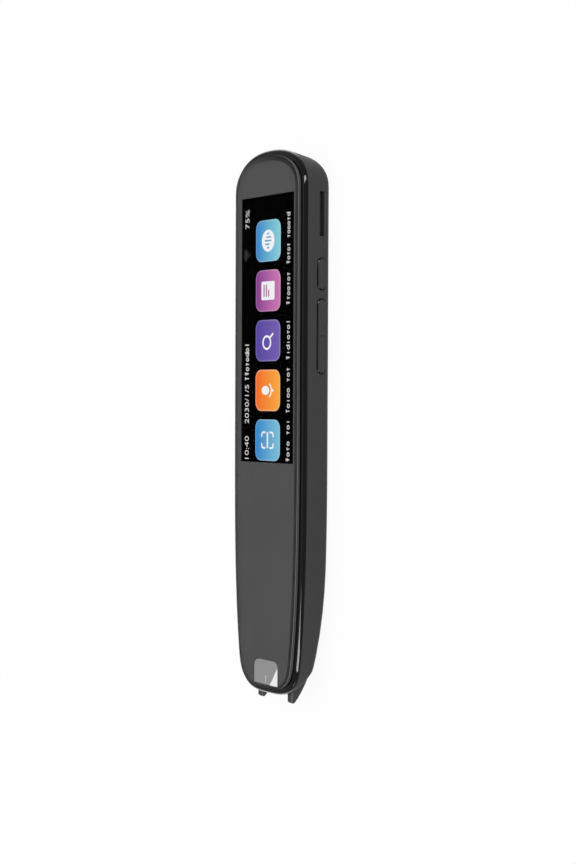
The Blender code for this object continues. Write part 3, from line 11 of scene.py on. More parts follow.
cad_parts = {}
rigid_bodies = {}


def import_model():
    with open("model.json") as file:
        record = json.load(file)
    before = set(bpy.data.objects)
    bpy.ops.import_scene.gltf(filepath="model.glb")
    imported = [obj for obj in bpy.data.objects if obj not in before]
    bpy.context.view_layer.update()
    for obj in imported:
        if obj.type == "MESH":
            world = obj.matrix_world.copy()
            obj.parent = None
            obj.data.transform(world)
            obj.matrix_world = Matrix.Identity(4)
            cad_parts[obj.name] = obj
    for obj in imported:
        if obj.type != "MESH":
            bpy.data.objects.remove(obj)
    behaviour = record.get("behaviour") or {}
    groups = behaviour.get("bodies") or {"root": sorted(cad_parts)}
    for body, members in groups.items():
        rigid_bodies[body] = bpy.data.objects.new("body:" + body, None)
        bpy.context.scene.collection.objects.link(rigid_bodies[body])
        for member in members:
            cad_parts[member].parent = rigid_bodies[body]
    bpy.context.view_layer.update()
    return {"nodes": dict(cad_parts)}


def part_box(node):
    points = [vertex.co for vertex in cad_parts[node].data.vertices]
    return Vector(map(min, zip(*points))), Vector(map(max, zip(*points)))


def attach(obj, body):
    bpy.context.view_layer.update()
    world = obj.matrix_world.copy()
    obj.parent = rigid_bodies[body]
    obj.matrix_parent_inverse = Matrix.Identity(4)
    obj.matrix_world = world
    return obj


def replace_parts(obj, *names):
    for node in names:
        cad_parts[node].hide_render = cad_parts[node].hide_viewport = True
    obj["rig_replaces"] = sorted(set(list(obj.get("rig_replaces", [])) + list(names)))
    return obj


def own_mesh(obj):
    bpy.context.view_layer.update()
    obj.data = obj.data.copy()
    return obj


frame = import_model()

bl_info = {
    "name": "Scanning Pen",
    "version": (1, 0, 0),
    "blender": (4, 5, 0),
    "location": "3D View > Sidebar > Scanning Pen",
    "description": "Finishes a pocket scanning pen: case, band, cover, menu, keys and skids",
    "category": "Object",
}

MM = 0.001

# Places taken from the frame
SCREEN_LOW, SCREEN_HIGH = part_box("display_module")
BLOCK_LOW, BLOCK_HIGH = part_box("sight_block")
COVER_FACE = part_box("cover_glass")[1].z

# How close two places must be to count as one, how level two faces must be to join, and how sharp a crease is
WELD = 0.002 * MM
SAME_PLACE = 0.02 * MM
FLAT = math.radians(0.1)
CREASE = math.radians(30)

# How far a normal rises on a face that points up, and the most that it rises on the side of a piece
UP = 0.9
SIDE = 0.5

# The photograph's frame and view
PHOTO_FOCUS = 68.5025
PHOTO_SENSOR = 36.0
CAMERA_PLACE = Vector((357.363, 7.083, 271.39)) * MM
CAMERA_RIGHT = Vector((0.60119, 0.00417, -0.7991))
CAMERA_UP = Vector((-0.01985, 0.99976, -0.00972))
CAMERA_BACK = Vector((0.79886, 0.02171, 0.60113))


# Selecting and shaping, as by hand


def clear_selection():
    """Nothing selected, in object mode."""
    if bpy.context.object and bpy.context.object.mode != "OBJECT":
        bpy.ops.object.mode_set(mode="OBJECT")
    bpy.ops.object.select_all(action="DESELECT")


def only(piece):
    """This piece alone selected and active."""
    clear_selection()
    piece.select_set(True)
    bpy.context.view_layer.objects.active = piece


def edit(piece, action="DESELECT"):
    """Edit mode on this piece, with nothing selected, or with all of it selected."""
    only(piece)
    bpy.ops.object.mode_set(mode="EDIT")
    bpy.ops.mesh.select_all(action=action)


def pick_faces(piece, test):
    """In edit mode, selects the faces for which the test holds."""
    bpy.ops.mesh.select_mode(type="FACE")
    bpy.ops.mesh.select_all(action="DESELECT")
    shape = bmesh.from_edit_mesh(piece.data)
    shape.normal_update()
    for face in shape.faces:
        if test(face):
            face.select_set(True)
    shape.select_flush_mode()
    bmesh.update_edit_mesh(piece.data)


def middle(face):
    """The middle of a face's corners."""
    return sum((vert.co for vert in face.verts), Vector()) / len(face.verts)


def leave_edit():
    bpy.ops.object.mode_set(mode="OBJECT")


def name_new(name):
    """Names the object that an operator has just added."""
    piece = bpy.context.object
    piece.name = name
    piece.data.name = name
    return piece


def settle(piece):
    """Puts the piece's place, turn and size into its mesh."""
    only(piece)
    bpy.ops.object.transform_apply(location=True, rotation=True, scale=True)
    return piece


def apply_modifier(piece, kind, **values):
    only(piece)
    bpy.ops.object.modifier_add(type=kind)
    modifier = piece.modifiers[-1]
    for key, value in values.items():
        setattr(modifier, key, value)
    bpy.ops.object.modifier_apply(modifier=modifier.name)


def weight_normals(piece):
    """Smooths all but the creases, with normals that keep flats flat."""
    only(piece)
    bpy.ops.object.shade_smooth_by_angle(angle=CREASE)
    apply_modifier(piece, "WEIGHTED_NORMAL", keep_sharp=True)


def soften(piece, width, segments=2, angle=CREASE):
    """Rounds every edge sharper than the angle."""
    sharp = {"limit_method": "ANGLE", "angle_limit": angle, "harden_normals": False}
    apply_modifier(piece, "BEVEL", width=width, segments=segments, **sharp)
    weight_normals(piece)


def join_all(name, pieces):
    """Joins pieces into one that has this name."""
    clear_selection()
    for piece in pieces:
        piece.select_set(True)
    bpy.context.view_layer.objects.active = pieces[0]
    if len(pieces) > 1:
        bpy.ops.object.join()
    return name_new(name)


def copy_of_node(node, name):
    """A piece that starts as a copy of a frame node, its loose triangles joined into flat faces."""
    piece = bpy.data.objects.new(name, frame["nodes"][node].data.copy())
    piece.data.name = name
    bpy.context.scene.collection.objects.link(piece)
    piece.data.materials.clear()
    only(piece)
    bpy.ops.mesh.customdata_custom_splitnormals_clear()
    edit(piece, "SELECT")
    bpy.ops.mesh.remove_doubles(threshold=WELD)
    bpy.ops.mesh.dissolve_limited(angle_limit=FLAT)
    leave_edit()
    return piece


def hand_over(piece, body, slot, finishes, *nodes):
    """Gives the piece its finishes, its body and the nodes it stands for. The slot that it is given is not
    used.
    """
    settle(piece)
    piece.data.materials.clear()
    for finish in finishes:
        piece.data.materials.append(finish)
    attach(piece, body)
    if nodes:
        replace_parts(piece, *nodes)


def on_screen(piece, *finishes):
    """Hands over a piece of the lit menu."""
    hand_over(piece, "case", "display_black", finishes)


def give_slot(piece, index, test):
    """The faces for which the test holds take the finish in this slot."""
    for face in piece.data.polygons:
        if test(face):
            face.material_index = index


# Flat shapes that the menu is made of


# The radius of a stroke's round ends, as a share of its width, and how much the numerals are thinned
ROUND_END = 0.49
NUMERAL_THINNING = -0.01


def drawn_up(name, low, high):
    """The selected flat shape in edit mode, drawn up to a thin closed plate."""
    bpy.ops.mesh.select_all(action="SELECT")
    bpy.ops.mesh.extrude_region_move(TRANSFORM_OT_translate={"value": (0, 0, high - low)})
    bpy.ops.mesh.select_all(action="SELECT")
    bpy.ops.mesh.normals_make_consistent(inside=False)
    leave_edit()
    return settle(name_new(name))


def rounded_plate(name, x, y, radius, low, high, steps=6):
    """A thin plate with round corners."""
    clear_selection()
    centre = (sum(x) / 2, sum(y) / 2, low)
    bpy.ops.mesh.primitive_plane_add(size=1, location=centre)
    bpy.ops.object.mode_set(mode="EDIT")
    bpy.ops.transform.resize(value=(x[1] - x[0], y[1] - y[0], 1), center_override=centre)
    bpy.ops.mesh.bevel(offset=radius, segments=steps, affect="VERTICES")
    return drawn_up(name, low, high)


def disc(name, centre, radii, low, high, sides=48):
    """A thin round or oval plate."""
    clear_selection()
    place = (*centre, low)
    bpy.ops.mesh.primitive_circle_add(vertices=sides, radius=1, fill_type="NGON", location=place)
    bpy.ops.object.mode_set(mode="EDIT")
    bpy.ops.transform.resize(value=(radii[0], radii[1], 1), center_override=place)
    return drawn_up(name, low, high)


def thin_ring(name, centre, inner, outer, low, high, first=0, last=360, sides=72):
    """A thin ring, or the part of it between two bearings in degrees from +X towards +Y."""
    clear_selection()
    place = Vector((*centre, low))
    bpy.ops.mesh.primitive_circle_add(vertices=sides, radius=outer, fill_type="NOTHING", location=place)
    bpy.ops.object.mode_set(mode="EDIT")
    bpy.ops.mesh.extrude_edges_move()
    share = inner / outer
    bpy.ops.transform.resize(value=(share, share, 1), center_override=place)

    def outside(face):
        here = middle(face)
        return not first <= math.degrees(math.atan2(here.y, here.x)) % 360 <= last

    if last - first < 360:
        pick_faces(bpy.context.object, outside)
        bpy.ops.mesh.delete(type="FACE")
    return drawn_up(name, low, high)


def bar(name, start, end, width, low, high):
    """A thin straight stroke with round ends between two points."""
    start, end = Vector(start), Vector(end)
    run = end - start
    half = run.length / 2 + width / 2
    piece = rounded_plate(name, (-half, half), (-width / 2, width / 2), width * ROUND_END, low, high, steps=4)
    piece.rotation_euler.z = math.atan2(run.y, run.x)
    piece.location = (*(start + end) / 2, 0)
    return settle(piece)


def writing(name, body, start, end, top, foot, low, high):
    """Plain numerals that read along +Y, from start to end, with their tops towards -X."""
    clear_selection()
    bpy.ops.object.text_add()
    text = bpy.context.object.data
    text.body = body
    text.size = 1
    text.offset = NUMERAL_THINNING
    text.resolution_u = 4
    text.extrude = 0.5
    bpy.ops.object.convert(target="MESH")
    piece = name_new(name)
    corners = [vert.co.copy() for vert in piece.data.vertices]
    lowest = Vector([min(corner[axis] for corner in corners) for axis in range(3)])
    size = Vector([max(corner[axis] for corner in corners) for axis in range(3)]) - lowest
    to_corner = Matrix.Translation(-lowest)
    to_size = Matrix.Diagonal(((end - start) / size.x, (foot - top) / size.y, (high - low) / size.z, 1))
    turn = Matrix.Rotation(math.pi / 2, 4, "Z")
    to_place = Matrix.Translation((foot, start, low))
    piece.matrix_world = to_place @ turn @ to_size @ to_corner
    settle(piece)
    edit(piece, "SELECT")
    bpy.ops.mesh.remove_doubles(threshold=WELD)
    leave_edit()
    return piece


# Finishes


# Where a glossy skin starts to turn into a mirror, from 0 head-on to 1 edge-on, and how rough that mirror is
GLANCE = 0.42
MIRROR_ROUGH = 0.1
WHITE = (1, 1, 1, 1)


def shade(colour, factor):
    return tuple(min(1, channel * factor) for channel in colour[:3])


class Nodes:
    """A node tree that is built up a few nodes at a time."""

    def __init__(self, tree):
        self.tree = tree

    def feed(self, socket, value):
        """Links the socket to another node's output, or gives it a value."""
        if isinstance(value, bpy.types.NodeSocket):
            self.tree.links.new(value, socket)
        else:
            socket.default_value = value

    def add(self, kind, settings=(), **inputs):
        """A node with its settings and the values or links of its inputs."""
        node = self.tree.nodes.new(kind)
        for key, value in dict(settings).items():
            setattr(node, key, value)
        for key, value in inputs.items():
            self.feed(node.inputs[key.replace("_", " ")], value)
        return node

    def reckon(self, operation, first, second):
        """The product, the power or the larger one of two values."""
        node = self.add("ShaderNodeMath", {"operation": operation})
        self.feed(node.inputs[0], first)
        self.feed(node.inputs[1], second)
        return node.outputs["Value"]

    def between(self, value, low, high, from_low=0.3, from_high=0.7, curve="LINEAR"):
        """The value mapped to a range."""
        ends = {"From_Min": from_low, "From_Max": from_high, "To_Min": low, "To_Max": high}
        node = self.add("ShaderNodeMapRange", {"interpolation_type": curve}, Value=value, **ends)
        return node.outputs["Result"]

    def seen(self):
        """1 for what the camera, a mirror or a clear part sees, and 0 for the light on the pen."""
        rays = self.add("ShaderNodeLightPath").outputs
        direct = self.reckon("MAXIMUM", rays["Is Camera Ray"], rays["Is Glossy Ray"])
        return self.reckon("MAXIMUM", direct, rays["Is Transmission Ray"])


class Finish(Nodes):
    """A material that is built up from its textures."""

    def __init__(self, name):
        self.material = bpy.data.materials.new(name)
        self.material.use_nodes = True
        super().__init__(self.material.node_tree)
        self.shader = self.tree.nodes["Principled BSDF"]
        self.surface = self.shader.outputs["BSDF"]
        self.place = self.add("ShaderNodeTexCoord").outputs["Object"]

    def noise(self, scale, detail=3.0, rough=0.55, stretch=None):
        place = self.place
        if stretch:
            place = self.add("ShaderNodeMapping", Vector=place, Scale=stretch).outputs["Vector"]
        inputs = {"Vector": place, "Scale": scale, "Detail": detail, "Roughness": rough}
        return self.add("ShaderNodeTexNoise", **inputs).outputs["Fac"]

    def cells(self, scale, feature="F1"):
        settings = {"feature": feature}
        return self.add("ShaderNodeTexVoronoi", settings, Vector=self.place, Scale=scale).outputs["Distance"]

    def stripes(self, scale, direction):
        settings = {"bands_direction": direction}
        return self.add("ShaderNodeTexWave", settings, Vector=self.place, Scale=scale).outputs["Fac"]

    def facing(self):
        """0 where the surface is seen head-on, and 1 where it is seen edge-on."""
        return self.add("ShaderNodeLayerWeight", Blend=0.5).outputs["Facing"]

    def blend(self, factor, first, second):
        """One colour turning into another. Sockets 6 and 7 of the node are its colours."""
        node = self.add("ShaderNodeMix", {"data_type": "RGBA"}, Factor=factor)
        for number, colour in ((6, first), (7, second)):
            linked = isinstance(colour, bpy.types.NodeSocket)
            self.feed(node.inputs[number], colour if linked else (*colour[:3], 1))
        return node.outputs[2]

    def mottle(self, texture, colour, dark, light, *span):
        """The colour, darker where the texture is low and lighter where it is high."""
        return self.blend(self.between(texture, 0, 1, *span), shade(colour, dark), shade(colour, light))

    def bumps(self, height, strength, distance):
        node = self.add("ShaderNodeBump", Strength=strength, Distance=distance, Height=height)
        self.skin(Normal=node.outputs["Normal"])

    def skin(self, **inputs):
        """Gives the shader the values or links of its inputs."""
        for key, value in inputs.items():
            self.feed(self.shader.inputs[key.replace("_", " ")], value)
        return self.material

    def two_shaders(self, share, first, second):
        """The surface shows the first shader, and the second by its share."""
        mix = self.add("ShaderNodeMixShader", Fac=share)
        self.feed(mix.inputs[1], first)
        self.feed(mix.inputs[2], second)
        self.feed(self.tree.nodes["Material Output"].inputs["Surface"], mix.outputs["Shader"])


def moulded(name, colour, rough, grain, specular, strength=0.35):
    """Plastic from a spark-eroded mould: a fine even grain, with slightly uneven gloss and tone."""
    finish = Finish(name)
    grains = finish.noise(grain, 4.0, 0.6)
    clouds = finish.noise(grain / 60, 2.0)
    tone = finish.mottle(grains, colour, 0.90, 1.10)
    warm = finish.mottle(grains, colour, 0.94, 1.14)
    finish.bumps(grains, strength, 0.012 * MM)
    return finish.skin(
        Base_Color=finish.blend(finish.between(clouds, 0, 1), tone, warm),
        Roughness=finish.between(grains, rough - 0.06, rough + 0.08),
        Specular_IOR_Level=specular,
    )


def polished(name, colour, rough, specular, mirror=0.0):
    """Glossy plastic with the faint flow of the mould and a few hairlines in it. Where it is seen at a flat
    angle, it may turn into a mirror, up to this share."""
    finish = Finish(name)
    flow = finish.noise(90, 2.0, 0.5, (1, 0.35, 1))
    hairs = finish.noise(900, 2.0, 0.4, (1, 0.05, 1))
    finish.bumps(flow, 0.04, 0.02 * MM)
    if mirror:
        share = finish.between(finish.facing(), 0, mirror, GLANCE, 1, "SMOOTHSTEP")
        bright = finish.add("ShaderNodeBsdfPrincipled", Metallic=1, Base_Color=WHITE, Roughness=MIRROR_ROUGH)
        finish.two_shaders(share, finish.surface, bright.outputs["BSDF"])
    return finish.skin(
        Base_Color=finish.mottle(flow, colour, 0.85, 1.2),
        Roughness=finish.between(hairs, rough * 0.8, rough * 1.5, 0.4, 0.8),
        Specular_IOR_Level=specular,
    )


def printed(name, colour, rough, specular):
    """Screen-printed ink: a satin coat with fine pigment in it."""
    finish = Finish(name)
    pigment = finish.noise(5200, 3.0, 0.7)
    sweep = finish.noise(45, 1.0, 0.4, (1, 0.3, 1))
    dark = finish.mottle(pigment, colour, 0.93, 1.05)
    light = finish.mottle(pigment, colour, 0.97, 1.1)
    finish.bumps(pigment, 0.1, 0.004 * MM)
    return finish.skin(
        Base_Color=finish.blend(finish.between(sweep, 0, 1), dark, light),
        Roughness=finish.between(pigment, rough - 0.05, rough + 0.05),
        Specular_IOR_Level=specular,
    )


def clear(name, tint, head_on, steepness, rough=0.02, fade=None):
    """A clear part: what is behind it shows, under a reflection that is faint head-on and grows steeply at
    flat angles. Its tint may fade in across the pen."""
    finish = Finish(name)
    smear = finish.noise(70, 2.0, 0.5)
    finish.skin(Metallic=1, Base_Color=WHITE, Roughness=finish.between(smear, rough * 0.7, rough * 1.6))
    colour = finish.mottle(smear, tint, 0.985, 1)
    if fade:
        across = finish.add("ShaderNodeSeparateXYZ", Vector=finish.place).outputs["X"]
        colour = finish.blend(finish.between(across, 0, 1, *fade), WHITE, colour)
    through = finish.add("ShaderNodeBsdfTransparent", Color=colour)
    share = finish.between(finish.reckon("POWER", finish.facing(), steepness), head_on, 1, 0, 1)
    finish.two_shaders(share, through.outputs["BSDF"], finish.surface)
    return finish.material


def lit(name, first, second=None, low=0.0, high=1.0, strength=1.0, across=(1, 0, 0)):
    """Lit pixels, or a painted glow where a part is given light of its own, from one colour at the low place
    to another at the high one, across the pen or along another direction."""
    finish = Finish(name)
    second = second or first
    grid = finish.reckon("MULTIPLY", finish.stripes(2600, "X"), finish.stripes(2600, "Y"))
    along = finish.add("ShaderNodeVectorMath", {"operation": "DOT_PRODUCT"}, Vector=finish.place)
    finish.feed(along.inputs[1], across)
    change = finish.between(along.outputs["Value"], 0, 1, low, high)
    dark = finish.blend(change, shade(first, 0.97), shade(second, 0.97))
    bright = finish.blend(change, first, second)
    return finish.skin(
        Emission_Color=finish.blend(finish.between(grid, 0, 1, 0, 1), dark, bright),
        Emission_Strength=strength,
        Base_Color=(0.002, 0.002, 0.002, 1),
        Roughness=0.4,
        Specular_IOR_Level=0.0,
    )


def metal(name, colour, rough, grain=1400, stretch=(1, 1, 1)):
    """Bare or plated metal with a fine drawn or blasted surface."""
    finish = Finish(name)
    lines = finish.noise(grain, 3.0, 0.6, stretch)
    finish.bumps(lines, 0.12, 0.006 * MM)
    return finish.skin(
        Base_Color=finish.mottle(lines, colour, 0.88, 1.08),
        Roughness=finish.between(lines, rough - 0.05, rough + 0.08),
        Metallic=1,
    )


def laminate(name, colour, copper):
    """Circuit board: solder resist over a fine pattern of tracks."""
    finish = Finish(name)
    tracks = finish.between(finish.cells(420, "DISTANCE_TO_EDGE"), 1, 0, 0.03, 0.09)
    weave = finish.noise(2400, 2.0)
    mask = finish.mottle(weave, colour, 0.85, 1.1)
    finish.bumps(tracks, 0.3, 0.02 * MM)
    return finish.skin(
        Base_Color=finish.blend(tracks, mask, copper), Roughness=finish.between(weave, 0.3, 0.42)
    )


def ribbon(name, colour, copper):
    """Flexible circuit: amber film over fine tracks that run along it."""
    finish = Finish(name)
    lines = finish.between(finish.stripes(900, "X"), 0, 1, 0.35, 0.65)
    cloud = finish.noise(500, 2.0)
    film = finish.mottle(cloud, colour, 0.85, 1.15)
    finish.bumps(lines, 0.25, 0.015 * MM)
    return finish.skin(
        Base_Color=finish.blend(lines, film, copper), Roughness=finish.between(cloud, 0.28, 0.42)
    )


def foil(name, colour):
    """Laminated cell foil: dull metal with soft dents."""
    finish = Finish(name)
    dents = finish.noise(160, 3.0, 0.55)
    finish.bumps(dents, 0.3, 0.15 * MM)
    return finish.skin(
        Base_Color=finish.mottle(dents, colour, 0.88, 1.08),
        Roughness=finish.between(finish.noise(1800, 2.0), 0.32, 0.5),
        Metallic=0.75,
    )


def sponge(name, colour):
    """Closed-cell foam."""
    finish = Finish(name)
    pores = finish.cells(2200)
    finish.bumps(pores, 0.5, 0.08 * MM)
    return finish.skin(
        Base_Color=finish.mottle(pores, colour, 0.5, 1.3, 0.1, 0.7),
        Roughness=finish.between(pores, 0.85, 0.98, 0.1, 0.7),
    )


def woven(name, colour):
    """Fine woven mesh cloth: dark threads both ways."""
    finish = Finish(name)
    weave = finish.reckon("MAXIMUM", finish.stripes(1500, "Y"), finish.stripes(1500, "Z"))
    threads = finish.between(weave, 0, 1, 0.4, 0.95)
    finish.bumps(threads, 0.5, 0.04 * MM)
    return finish.skin(
        Base_Color=finish.blend(threads, shade(colour, 0.3), shade(colour, 1.5)),
        Roughness=finish.between(threads, 0.8, 0.5, 0, 1),
        Specular_IOR_Level=0.2,
    )


# What a user would change, and what those settings have in common


COLOUR = {"subtype": "COLOR", "size": 3, "min": 0, "max": 1}
LENGTH = {"subtype": "DISTANCE", "unit": "LENGTH"}
POWER = {"subtype": "POWER", "unit": "POWER", "min": 0}


class PenCaseSettings(bpy.types.PropertyGroup):
    """The case, its band, its keys and the skids."""

    case_colour: bpy.props.FloatVectorProperty(
        name="Case colour", description="Colour of the moulded rear case", default=(0.0228, 0.0229, 0.0232),
        **COLOUR,
    )
    case_roughness: bpy.props.FloatProperty(
        name="Case roughness", description="How matte the rear case is", subtype="FACTOR", min=0.1, max=1,
        default=0.5,
    )
    key_colour: bpy.props.FloatVectorProperty(
        name="Key colour", description="Colour of the side keys", default=(0.0235, 0.0236, 0.0239), **COLOUR,
    )
    band_colour: bpy.props.FloatVectorProperty(
        name="Band colour", description="Colour of the glossy band round the front",
        default=(0.002, 0.002, 0.002), **COLOUR,
    )
    skid_colour: bpy.props.FloatVectorProperty(
        name="Skid colour", description="Colour of the two skids and their carriage",
        default=(0.015, 0.015, 0.0152), **COLOUR,
    )


class PenFrontSettings(bpy.types.PropertyGroup):
    """The panel, its cover and the sight window."""

    print_colour: bpy.props.FloatVectorProperty(
        name="Print colour", description="Colour of the grey print under the cover",
        default=(0.054, 0.0542, 0.0545), **COLOUR,
    )
    # Painted shade: the sloped edge of the cover is tinted darker on its right side and at its ends
    border_shade_tint: bpy.props.FloatVectorProperty(
        name="Border tint", description="How much the sloped edge of the cover darkens",
        default=(0.475, 0.475, 0.48), **COLOUR,
    )
    # Painted highlight: the top of the cover's ground side is given this lighter colour
    rim_highlight_colour: bpy.props.FloatVectorProperty(
        name="Rim colour", description="Colour of the ground side of the cover", default=(0.14, 0.14, 0.143),
        **COLOUR,
    )
    # Painted glow: the frosted walls of the sight block are given this colour as light of their own
    window_glow_colour: bpy.props.FloatVectorProperty(
        name="Window wall colour", description="Colour of the frosted walls of the sight block",
        default=(0.3, 0.3, 0.302), **COLOUR,
    )
    # Painted glow: the slanted face and end wall of the sight block are given this near-white light of their
    # own
    mouth_glow_colour: bpy.props.FloatVectorProperty(
        name="Mouth colour", description="Light that comes in through the scanning mouth",
        default=(0.92, 0.92, 0.925), **COLOUR,
    )
    mark_width: bpy.props.FloatProperty(
        name="Sight mark width", description="Width of the guide line in the sight window", min=0, max=0.001,
        default=0.00032, **LENGTH,
    )


class PenMenuSettings(bpy.types.PropertyGroup):
    """The lit menu."""

    tile_size: bpy.props.FloatProperty(
        name="Tile size", description="Side of one menu tile", min=0.005, max=0.013, default=0.01114,
        **LENGTH,
    )
    tile_pitch: bpy.props.FloatProperty(
        name="Tile pitch", description="Distance from one tile to the next", min=0.006, max=0.014,
        default=0.01342, **LENGTH,
    )
    tile_radius: bpy.props.FloatProperty(
        name="Tile corner radius", description="Radius of a tile's corners", min=0.0005, max=0.005,
        default=0.0024, **LENGTH,
    )
    first_tile: bpy.props.FloatProperty(
        name="First tile", description="Middle of the top tile along the pen", min=0.0, max=0.06,
        default=0.04892, **LENGTH,
    )
    clock: bpy.props.StringProperty(name="Clock", description="Numerals of the clock", default="10:40")
    date: bpy.props.StringProperty(name="Date", description="Numerals of the date", default="2030/1/5")
    charge: bpy.props.StringProperty(
        name="Charge", description="Numerals of the battery charge", default="75%",
    )
    glow: bpy.props.FloatProperty(
        name="Glow", description="Strength of the lit pixels", subtype="FACTOR", min=0, max=2, default=1.0,
    )


class PenStageSettings(bpy.types.PropertyGroup):
    """The lamps and the floor."""

    sky: bpy.props.FloatProperty(
        name="Sky", description="Strength of the even light from all round", min=0, max=2, default=0.8,
    )
    key_lamp: bpy.props.FloatProperty(
        name="Overhead lamp", description="Power of the large lamp overhead", max=20, default=1.2, **POWER,
    )
    end_lamp: bpy.props.FloatProperty(
        name="End lamp", description="Power of the strip lamp beyond the charging end", max=20, default=1.1,
        **POWER,
    )
    tip_lamp: bpy.props.FloatProperty(
        name="Tip lamp", description="Power of the strip lamp beyond the tip", max=20, default=0.5, **POWER,
    )
    softbox: bpy.props.FloatProperty(
        name="Softboxes", description="Power of the two softboxes that only glossy skins show", max=200,
        default=60, **POWER,
    )
    floor_colour: bpy.props.FloatVectorProperty(
        name="Floor colour", description="Colour of the pale floor", default=(0.88, 0.88, 0.88), **COLOUR,
    )
    shadow_share: bpy.props.FloatProperty(
        name="Shadow share", description="How much of the pen's shadow shows on the floor", subtype="FACTOR",
        min=0, max=1, default=0.06,
    )


# Pieces


# Each key's node, its piece and its body
KEYS = (
    ("power_key", "power_button_cap", "power_button"),
    ("volume_rocker", "volume_rocker_cap", "rocker"),
)

# How far the painted shade in the gap reaches from a key, how round a key's edges are, and the tilt of its
# walls and its face
KEY_SHADE_REACH = 0.5 * MM
KEY_ROUND = 0.2 * MM
KEY_WALL = 0.3
KEY_FACE = 0.97


def key_gap(name, grain):
    """Painted shade: a near-black finish for the walls of the gap round a key."""
    return moulded(name, (0.003, 0.003, 0.003), rough=0.8, grain=grain, specular=0.05)


class PEN_OT_case(bpy.types.Operator):
    """Finishes the moulded rear case, with painted shade on the walls of its key openings"""

    bl_idname = "pen.case"
    bl_label = "Rear Case"

    def execute(self, context):
        settings = context.scene.pen_case
        case = copy_of_node("rear_case", "case_shell")
        weight_normals(case)
        rough = settings.case_roughness
        finish = moulded("case_plastic", settings.case_colour, rough, grain=3200, specular=0.2)
        gap = key_gap("case_gap", grain=3200)
        hand_over(case, "case", "case_plastic", [finish, gap], "rear_case")
        openings = [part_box(node) for node, _, _ in KEYS]

        def in_key_opening(face):
            here = face.center
            near = any(
                low.x < here.x and low.y - KEY_SHADE_REACH < here.y < high.y + KEY_SHADE_REACH
                and low.z - KEY_SHADE_REACH < here.z < high.z + KEY_SHADE_REACH for low, high in openings
            )
            return near and abs(face.normal.x) < KEY_WALL

        # Painted shade: the walls of the key openings are near black
        give_slot(case, 1, in_key_opening)
        return {"FINISHED"}


class PEN_OT_band(bpy.types.Operator):
    """Finishes the glossy band round the front, with its ledge and tray"""

    bl_idname = "pen.band"
    bl_label = "Glossy Band"

    def execute(self, context):
        settings = context.scene.pen_case
        ring = copy_of_node("middle_frame", "gloss_band")
        weight_normals(ring)
        gloss = polished("band_gloss", settings.band_colour, rough=0.05, specular=0.12, mirror=0.85)
        hand_over(ring, "case", "frame_plastic", [gloss], "middle_frame")
        return {"FINISHED"}


class PEN_OT_panel(bpy.types.Operator):
    """Finishes the printed panel, with the black edge of its openings"""

    bl_idname = "pen.panel"
    bl_label = "Front Panel"

    def execute(self, context):
        settings = context.scene.pen_front
        panel = copy_of_node("front_panel", "printed_panel")
        ink = printed("panel_ink", settings.print_colour, rough=0.5, specular=0.2)
        edge = printed("panel_edge", (0.002, 0.002, 0.002), rough=0.6, specular=0.05)
        hand_over(panel, "case", "panel_print", [ink, edge], "front_panel")

        def in_screen_opening(face):
            here = face.center
            inside = abs(here.x) < SCREEN_HIGH.x and SCREEN_LOW.y < here.y < SCREEN_HIGH.y
            return inside and abs(face.normal.z) < SIDE

        give_slot(panel, 1, in_screen_opening)
        weight_normals(panel)
        return {"FINISHED"}


# How much of the cover's ground side, over the band, takes a painted highlight, the width of the round on its
# edges and the least angle that is rounded, the most that a normal rises on its slopes, and where the painted
# shade on its end slopes fades in
RIM_HIGHLIGHT = 0.45 * MM
COVER_ROUND = 0.06 * MM
COVER_CREASE = math.radians(10)
COVER_SLOPE = 0.9995
END_FADE = (-11 * MM, 4 * MM)


class PEN_OT_cover(bpy.types.Operator):
    """Makes the clear cover: flat on top, with painted shade on its right and end slopes, and a ground side
    with a painted highlight along its top and painted shade below
    """

    bl_idname = "pen.cover"
    bl_label = "Clear Cover"

    def execute(self, context):
        settings = context.scene.pen_front
        cover = copy_of_node("cover_glass", "clear_cover")
        soften(cover, COVER_ROUND, angle=COVER_CREASE)
        flat = clear("cover_clear", (0.985, 0.985, 0.985), head_on=0.0006, steepness=14)
        # Painted shade: the right slope and the end slopes are tinted darker, the end slopes fading in across
        # the pen; the left slope stays clear
        side = clear("cover_side_slope", settings.border_shade_tint, head_on=0.0006, steepness=14, rough=0.06)
        end_shade_tint = shade(settings.border_shade_tint, 1.22)
        end = clear("cover_end_slope", end_shade_tint, head_on=0.001, steepness=13, rough=0.06, fade=END_FADE)
        # Painted highlight on the top of the ground side, and painted shade, near black, below it
        rim_highlight = moulded("cover_rim", settings.rim_highlight_colour, rough=0.4, grain=2600, specular=0.3, strength=0.1)
        seat_shade = moulded("cover_seat", (0.012, 0.012, 0.012), rough=0.5, grain=2600, specular=0.2, strength=0.1)
        rim_foot = COVER_FACE - RIM_HIGHLIGHT
        edit(cover, "SELECT")
        bpy.ops.mesh.bisect(plane_co=(0, 0, rim_foot), plane_no=(0, 0, 1))
        leave_edit()
        hand_over(cover, "case", "cover_glass", [flat, side, end, rim_highlight, seat_shade], "cover_glass")

        def slopes(face):
            return SIDE < face.normal.z < COVER_SLOPE

        give_slot(cover, 1, lambda face: slopes(face) and face.normal.x > abs(face.normal.y))
        give_slot(cover, 2, lambda face: slopes(face) and abs(face.normal.y) > abs(face.normal.x))
        give_slot(cover, 3, lambda face: abs(face.normal.z) <= SIDE)
        give_slot(cover, 4, lambda face: abs(face.normal.z) <= SIDE and face.center.z < rim_foot)
        return {"FINISHED"}


